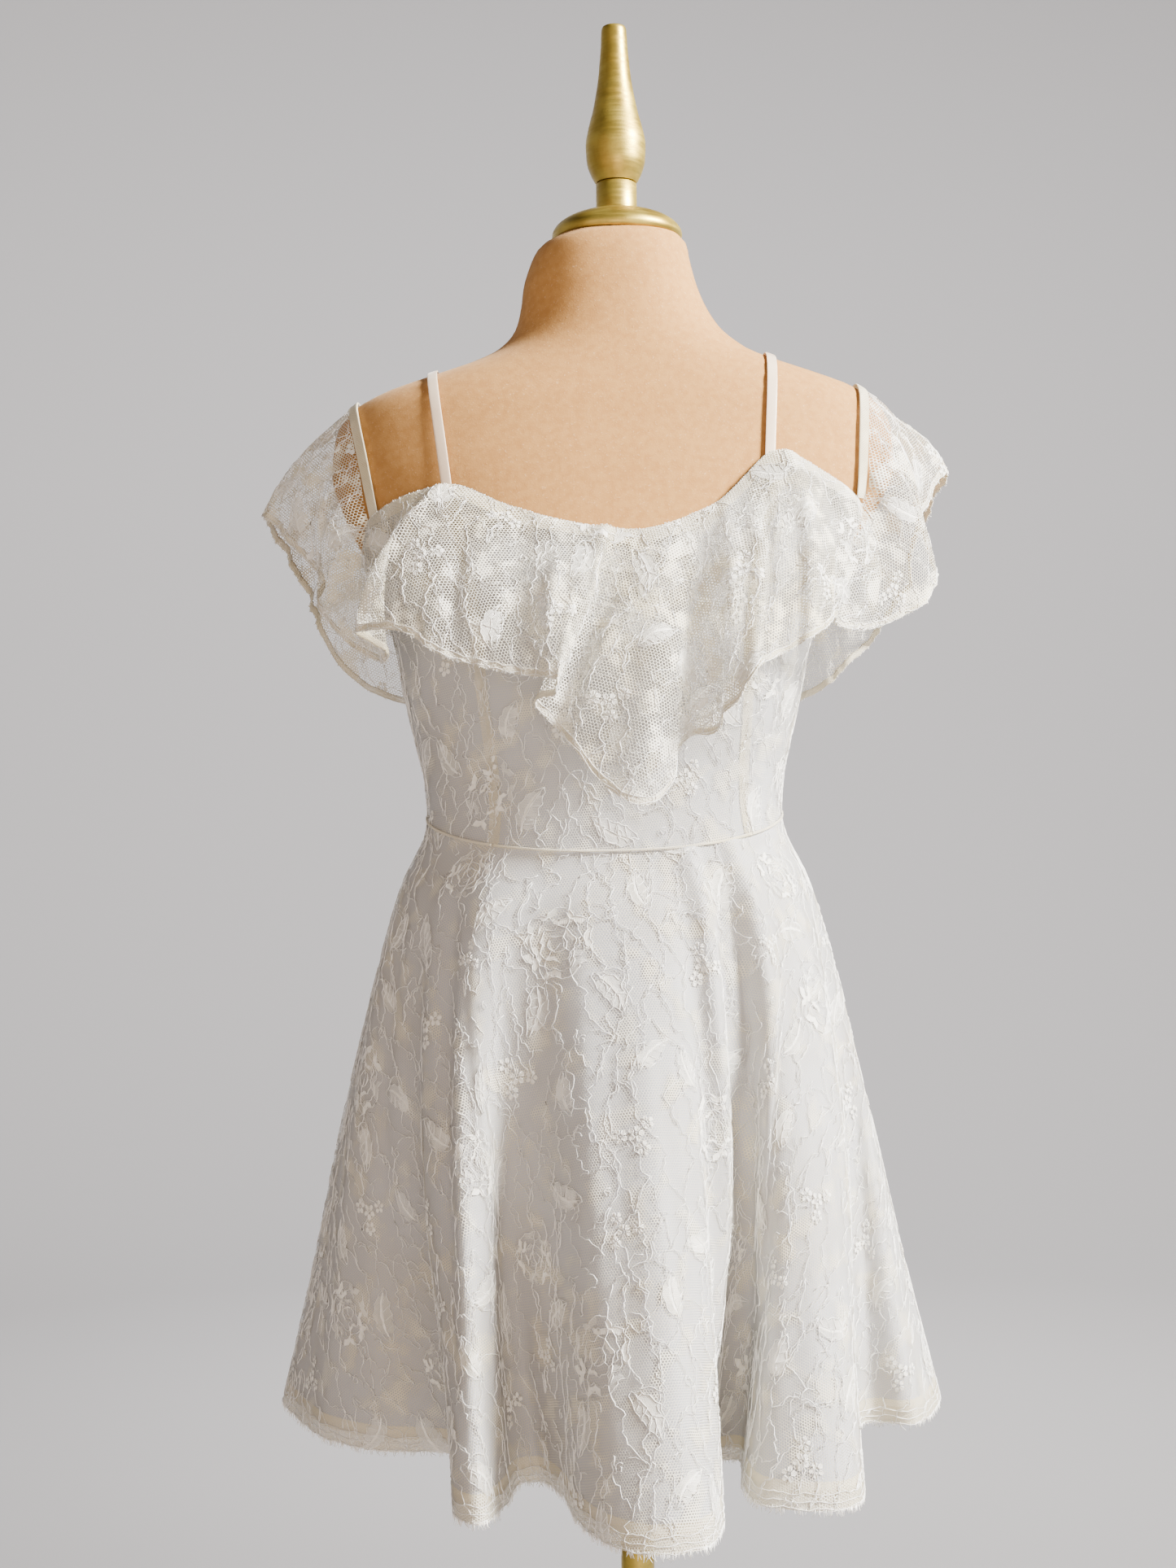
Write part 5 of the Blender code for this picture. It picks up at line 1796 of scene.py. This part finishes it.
@dataclass
class Ribbons:
    """The straps and shoulder bands over the shoulders, and the strap sliders."""

    slider_size: tuple[float, float, float] = (0.0115, 0.0060, 0.0014)
    slider_steps: tuple[int, int] = (14, 11)
    slider_bar: float = 0.0006
    slider_corner: float = 0.45
    slider_sides: int = 48
    bar_sides: int = 8
    ribbon_rows: int = 110
    ribbon_sides: int = 24
    flatness: float = 0.4

    @staticmethod
    def shoulder_top(x: float) -> float:
        """The height at which the form's shoulder line passes x."""
        low, high = 1.34, 1.45
        for _ in range(40):
            middle = (low + high) / 2
            half, _, _, centre = FORM.sizes(np.array(middle))
            low, high = (middle, high) if abs(x - centre) < half else (low, middle)
        return low

    @staticmethod
    def corner(left: bool, behind: bool) -> float:
        """The angle at which a shoulder band meets the bodice's upper edge."""
        if left:
            return BACK_CORNERS[0] if behind else FRONT_CORNERS[1]
        return BACK_CORNERS[1] if behind else FRONT_CORNERS[0]

    @staticmethod
    def edge_height(x: float, back: bool) -> float:
        """The bodice's upper edge where it passes x, on the front or on the back."""
        angles = np.radians(np.linspace(91, 269, 400) if back else np.linspace(-89, 89, 400))
        points = FORM.point(upper_edge(angles), angles)
        return float(points[np.argmin(np.abs(points[:, 0] - x)), 2])

    @classmethod
    def path(cls, ribbon: Ribbon, steps: int = RIBBON_STEPS) -> tuple[Array, Array]:
        """A ribbon's path over the shoulder from front to back, with the form's normals on it."""
        if ribbon in BANDS:
            left = ribbon.top_x > 0
            front, back = (
                float(np.max(upper_edge(cls.corner(left, behind) + np.radians((-9, 0, 9))))) + RIBBON_LIFT
                for behind in (False, True)
            )
        else:
            front = cls.edge_height(ribbon.front_x, False) + STRAP_LIFT
            back = cls.edge_height(ribbon.back_x, True) + STRAP_LIFT
        path, facing = [], []
        for turn in np.linspace(0, math.pi, steps + 1):
            ahead = turn < math.pi / 2
            end_x, end_height = (ribbon.front_x, front) if ahead else (ribbon.back_x, back)
            x = end_x + (ribbon.top_x - end_x) * math.sin(turn)
            top = cls.shoulder_top(x)
            height = np.array(top - (top - end_height) * (1 - math.sin(turn)))
            half, _, _, centre = FORM.sizes(height)
            angle = math.asin(min(abs(x - centre) / half, 1.0) ** (RING_POWER / 2))
            if turn > math.pi / 2:
                angle = math.pi - angle
            angle = math.copysign(angle, x)
            path.append(FORM.point(height, angle))
            facing.append(FORM.normal(height, angle))
        return cls.respaced(np.array(path), np.array(facing), steps + 1)[:2]

    @staticmethod
    def respaced(path: Array, facing: Array, count: int) -> tuple[Array, Array, Array]:
        """A path's points, evenly spaced, with their normals and their places along it."""
        length = arc_length(path)
        at = np.linspace(0, length[-1], count)
        return read_at(path, length, at), unit(read_at(facing, length, at)), at

    @staticmethod
    def sides(path: Array, facing: Array, width: float) -> tuple[Array, Array]:
        """The two edges of a ribbon that lies on the form along a path."""
        across = unit(np.cross(np.gradient(path, axis=0), facing)) * width / 2
        return path - across, path + across

    @staticmethod
    def lengthened(path: Array, facing: Array, reach: float) -> tuple[Array, Array]:
        """A path and its normals, run on straight by a reach at both ends."""
        ends = [path[a] + unit(path[a] - path[b]) * reach for a, b in ((0, 1), (-1, -2))]
        path = np.concatenate([ends[:1], path, ends[1:]])
        return path, np.concatenate([facing[:1], facing, facing[-1:]])

    def ribbon(self, ribbon: Ribbon, cloth: RibbonCloth) -> None:
        width = cloth.width
        path, facing = self.lengthened(*self.path(ribbon), cloth.tuck)
        path, facing, at = self.respaced(path, facing, self.ribbon_rows)
        low, high = self.sides(path, facing, width)
        turn = np.linspace(0, 2 * math.pi, self.ribbon_sides, endpoint=False)
        share = 0.5 - 0.5 * np.cos(turn)
        rise = cloth.wall / 2 * (1 + signed_power(np.sin(turn), self.flatness))
        across = low + (high - low) * share[:, None, None]
        grid = np.swapaxes(across + (RIBBON_CLEARANCE + rise[:, None, None]) * facing, 0, 1)
        round_cut = np.broadcast_to(turn / (2 * math.pi) * 2 * width, grid.shape[:2])
        cut = np.stack([round_cut, np.broadcast_to(-at[:, None], grid.shape[:2])], axis=-1)
        faces = grid_faces(*grid.shape[:2], closed=True)[:, ::-1]
        piece = make_piece(ribbon.name, grid, faces, cloth.finish, cut)
        stand_for(ribbon.name)

    def slider(self, ribbon: Ribbon, step: int) -> None:
        """Make a strap slider: a rounded frame with a bar across its middle."""
        path, facing = self.path(ribbon)
        way = unit(path[step + 1] - path[step - 1])
        up = facing[step]
        across = unit(np.cross(up, way))
        up = np.cross(across, way)
        wide, tall, thick = self.slider_size
        centre = path[step] + (RIBBON_CLEARANCE + STRAP_WALL + 2 * SEAT + thick / 2) * facing[step]
        angle = np.linspace(0, 2 * math.pi, self.slider_sides, endpoint=False)
        round_x, round_y = (signed_power(f(angle), self.slider_corner) for f in (np.cos, np.sin))
        bar, count = self.slider_bar, self.bar_sides
        ring = np.linspace(0, 2 * math.pi, count, endpoint=False)
        rows = []
        for turn in ring:
            inset = bar * math.cos(turn) - bar
            x, y = round_x * (wide / 2 + inset), round_y * (tall / 2 + inset)
            lift = thick / 2 * math.sin(turn)
            rows.append(centre + x[:, None] * across + y[:, None] * way + lift * up)
        ends = [centre + s * (wide / 2 - bar) * across for s in (-1, 1)]
        rows += [end + bar * (math.cos(t) * way + math.sin(t) * up) for end in ends for t in ring]
        points = np.concatenate([row.reshape(-1, 3) for row in rows])
        frame_faces = grid_faces(count + 1, self.slider_sides, closed=True)[:, [0, 3, 2, 1]]
        first = count * self.slider_sides
        turns = [(i, (i + 1) % count) for i in range(count)]
        bar_faces = [[first + i, first + j, first + count + j, first + count + i] for i, j in turns]
        faces = np.concatenate([frame_faces % first, bar_faces])
        name = ribbon.name.replace("strap", "strap_slider")
        piece = make_piece(name, points, faces, Finish.PLASTIC)
        stand_for(name)

    def build(self) -> None:
        """Make bands, straps and sliders."""
        for band in BANDS:
            self.ribbon(band, BAND_CLOTH)
        for strap, step in zip(STRAPS, self.slider_steps):
            self.ribbon(strap, STRAP_CLOTH)
            self.slider(strap, step)


FLOUNCE_CREASES = {
    "flounce_front": table(
        Crease,
        (0.035, 0.0, 1.1, 0.0, 0.007, 0.003), (0.095, 0.0, 1.1, 0.0, 0.008, -0.006),
        (0.185, -0.1, 1.2, -0.04, 0.006, 0.0065), (0.25, 0.1, 1.1, 0.02, 0.008, -0.0035),
        (0.33, 0.0, 0.9, 0.02, 0.012, -0.005), (0.395, 0.1, 1.1, 0.0, 0.006, 0.003),
        (0.45, -0.1, 1.2, 0.0, 0.006, 0.0085), (0.492, 0.0, 1.2, 0.0, 0.007, -0.008),
        (0.56, -0.1, 1.2, 0.0, 0.013, 0.004), (0.617, 0.0, 1.1, 0.0, 0.01, -0.0065),
        (0.675, 0.0, 1.2, 0.0, 0.008, 0.0065), (0.735, 0.1, 1.0, 0.0, 0.008, -0.0055),
        (0.795, -0.1, 1.2, 0.0, 0.007, 0.0065), (0.87, 0.0, 1.1, 0.0, 0.008, -0.0055),
        (0.94, 0.0, 1.1, 0.0, 0.007, 0.004),
    ),
    "flounce_left_shoulder": table(
        Crease,
        (0.25, 0.1, 1.1, 0.0, 0.008, -0.0044), (0.55, 0.0, 1.0, 0.0, 0.007, 0.0044),
        (0.8, 0.2, 1.1, 0.0, 0.007, -0.0036),
    ),
    "flounce_back": table(
        Crease,
        (0.15, 0.1, 1.1, 0.0, 0.008, -0.0044), (0.38, 0.0, 1.0, 0.0, 0.007, 0.0036),
        (0.62, 0.0, 0.9, 0.0, 0.008, -0.0044), (0.84, 0.2, 1.1, 0.0, 0.008, 0.004),
    ),
    "flounce_right_shoulder": table(
        Crease,
        (0.22, 0.1, 1.1, 0.0, 0.007, 0.004), (0.48, 0.0, 1.0, 0.0, 0.008, -0.0044),
        (0.77, 0.1, 1.1, 0.0, 0.007, 0.004),
    ),
}


@dataclass
class Flounce:
    """The unlined flounce round the off-shoulder line, in four lengths."""

    work: LaceWork
    rows: int = 36
    hem_fold: Pair = (0.0055, 0.0001)
    neck_band: Pair = (0.0, 0.011)
    hem_cords: tuple[float, ...] = (0.0010, 0.0048)
    ripple: float = 0.0022
    pucker: float = 0.0009

    @staticmethod
    def neckline_point(angle: Array) -> Array:
        """A point of the sewn edge on the bodice."""
        return FORM.out(upper_edge(angle) - 0.001, angle, FLOUNCE_OFF)

    @classmethod
    def shoulder_edge(cls, band: Ribbon, left: bool) -> Array:
        """The sewn edge along a band's outer side, from the front corner to the back one."""
        path, facing = Ribbons.path(band)
        both = Ribbons.sides(path, facing, BAND_WIDTH + 2 * SEAT + LACE_WALL)
        outer = max(both, key=lambda side: abs(side[len(side) // 2, 0]))
        outer, facing = Ribbons.lengthened(outer, facing, RIBBON_LIFT)
        length = arc_length(outer)
        away = np.minimum(length, length[-1] - length)[:, None]
        out = np.interp(away, (0, CORNER_BLEND), (FLOUNCE_OFF, RIBBON_CLEARANCE + LACE_WALL / 2))
        corners = [cls.neckline_point(np.array(Ribbons.corner(left, behind))) for behind in (False, True)]
        return np.concatenate([corners[:1], outer + out * facing, corners[1:]])

    @classmethod
    def sewn_edge(cls, along: Array, part: int) -> Array:
        """Points of the sewn edge for values of along within one of the four lengths."""
        share = along - part
        if part in (1, 3):
            left = part == 1
            edge = cls.shoulder_edge(BANDS[0 if left else 1], left)[:: 1 if left else -1]
            length = arc_length(edge)
            return read_at(edge, length, share * length[-1])
        start, end = FRONT_CORNERS if part == 0 else BACK_CORNERS
        return cls.neckline_point(start + (end - start) * share)

    def grid(self, piece: FlouncePiece, curve: Array, along: Array) -> Array:
        """The points of one length, from its sewn edge to its hem."""
        share = (np.linspace(0, 1, self.rows + 1) ** 1.15)[:, None]
        chosen = (along >= piece.start) & (along <= piece.end)
        sewn = TOP_SHARE * self.sewn_edge(along[chosen], piece.start)
        dense = np.concatenate([curve[chosen], sewn, along[chosen, None]], axis=1)
        ribs = evenly(dense, piece.columns)
        hem, top, values = ribs[:, :3], ribs[:, 3:6] / TOP_SHARE, ribs[:, 6]
        grid = top + (hem - top) * share[..., None]
        outward = grid - np.array([SKIRT_RINGS[0].middle_x, 0, 0])
        outward[..., 2] = 0
        outward = unit(outward)
        wave = np.sin(values * 41) * 0.6 + np.sin(values * 67 + 1.3) * 0.4
        pucker = np.sin(values * 190) * 0.5 + np.sin(values * 283 + 0.7) * 0.5
        lift = FLOUNCE_BULGE * np.sin(math.pi * share) + self.ripple * share**2 * wave
        lift += self.pucker * share**5 * pucker
        grid = creased(grid + lift[..., None] * outward, FLOUNCE_CREASES[piece.name])
        inside = np.clip(np.minimum(values - piece.start, piece.end - values) * 4, 0, 1)
        over = inside * ("shoulder" in piece.name)
        least = FLOUNCE_OFF + (SHOULDER_CLEARANCE - FLOUNCE_OFF) * over
        grid[1:] = FORM.clear(grid[1:], least + FLOUNCE_EASE * np.minimum(share[1:] * 4, 1))
        return grid

    def build(self) -> None:
        """Make the four lengths with their hems and neckline bands."""
        points = np.array([(rib.x, rib.y, rib.z) for rib in FLOUNCE_RIBS]) * MM
        curve, place = closed_spline(points)
        steps = [rib.along for rib in FLOUNCE_RIBS] + [4.0]
        along = np.interp(place, np.arange(len(steps)), steps)
        for number, piece in enumerate(FLOUNCE_PIECES):
            panel = Panel(piece.name, self.grid(piece, curve, along))
            lace = panel.build(Finish.FLOUNCE_NET)
            extras = self.work.lay(panel, (0.05 + 0.07 * number, 0.10))
            hem = panel.strip("_hem", Edge.HEM, self.hem_fold, -0.0005, Finish.DOUBLE_NET, 0.0007)
            extras.append(hem)
            extras.append(make_fringe(panel, Edge.HEM, 0.0022, (0.0004, 0.0016)))
            extras.append(self.work.edging(panel, self.hem_cords))
            if "shoulder" not in piece.name:
                band = panel.strip("_band", Edge.UPPER, self.neck_band, -0.0005, Finish.DOUBLE_NET)
                extras += [band, make_fringe(panel, Edge.UPPER, 0.0026, (0.0003, 0.0010))]
            declare(lace, panel)


class Light(NamedTuple):
    """A round area light: its place, what it points at, its size, its watts and its colour."""

    name: str
    place: tuple[float, float, float]
    target: tuple[float, float, float]
    size: float
    watts: float
    colour: Colour


LIGHTS = table(
    Light,
    ("key", (2.75, -1.00, 3.00), (0.0, 0.0, 1.1), 0.95, 920, (1.0, 0.97, 0.92)),
    ("left_fill", (-1.9, -2.3, 1.2), (0.0, 0.0, 1.0), 2.4, 16, (1.0, 0.69, 0.50)),
    ("low_fill", (0.4, -2.6, 0.5), (0.0, 0.0, 0.78), 2.0, 38, (1.0, 0.76, 0.58)),
    ("back_wall", (0.0, 1.2, 2.3), (0.0, 4.6, 1.5), 1.8, 330, (0.98, 0.97, 1.0)),
    ("front_wall", (0.0, -1.9, 2.6), (0.0, -4.6, 1.5), 1.8, 110, (0.98, 0.97, 1.0)),
)


@dataclass
class Studio:
    """The floor and backdrop, the lights and the camera."""

    floor_radius: float = 4.6
    wall_curve: float = 1.6
    wall_top: float = 6.0
    floor_drop: float = 0.0005
    world_strength: float = 0.04
    sides: int = 96
    camera_place: tuple[float, float, float] = (-0.0277, -1.44, 1.10)
    camera_roll: float = math.radians(0.9)
    lens: float = 2400 / 1927 * 36

    def backdrop(self) -> None:
        """A round floor that curves up into a wall on all sides."""
        turn = np.radians(np.linspace(0, 90, 13))
        inner = self.floor_radius - self.wall_curve
        profile = [(0.02, 0.0), (inner / 2, 0.0)]
        curve = self.wall_curve
        profile += [(inner + curve * math.sin(a), curve * (1 - math.cos(a))) for a in turn]
        profile.append((self.floor_radius, self.wall_top))
        grid = turned(np.array(profile)[::-1], self.sides) - [0, 0, self.floor_drop]
        faces = grid_faces(len(profile), self.sides, closed=True)[:, ::-1].tolist()
        last = (len(profile) - 1) * self.sides
        faces.append(list(range(last, last + self.sides)))
        make_mesh("backdrop", grid, faces, Finish.STAGE)

    def light(self, light: Light) -> None:
        """Add a light that the camera doesn't see."""
        lamp = bpy.data.lights.new(light.name, "AREA")
        lamp.shape = "DISK"
        lamp.size = light.size
        lamp.energy = light.watts
        lamp.color = light.colour
        holder = bpy.data.objects.new(light.name, lamp)
        holder.location = light.place
        way = Vector(light.target) - Vector(light.place)
        holder.rotation_euler = way.to_track_quat("-Z", "Y").to_euler()
        holder.visible_camera = False
        bpy.context.scene.collection.objects.link(holder)

    def build(self) -> None:
        """Make the backdrop, the lights, the world and the camera."""
        self.backdrop()
        for light in LIGHTS:
            self.light(light)
        world = bpy.data.worlds.new("studio")
        world.use_nodes = True
        shade = world.node_tree.nodes["Background"]
        shade.inputs["Color"].default_value = (1.0, 0.95, 0.92, 1)
        shade.inputs["Strength"].default_value = self.world_strength
        bpy.context.scene.world = world
        data = bpy.data.cameras.new("camera")
        data.lens = self.lens
        camera = bpy.data.objects.new("camera", data)
        camera.location = self.camera_place
        camera.rotation_euler = (math.radians(90), self.camera_roll, 0)
        bpy.context.scene.collection.objects.link(camera)
        bpy.context.scene.camera = camera


def main() -> None:
    """Build the stand, the form and the dress."""
    logging.basicConfig(level=logging.INFO, format="%(message)s")
    work = LaceWork(LaceDesign())
    TurnedStand().build()
    DressForm().build()
    Bodice(work).build()
    Skirt(work).build()
    Ribbons().build()
    Flounce(work).build()
    Studio().build()


if __name__ == "__main__":
    main()
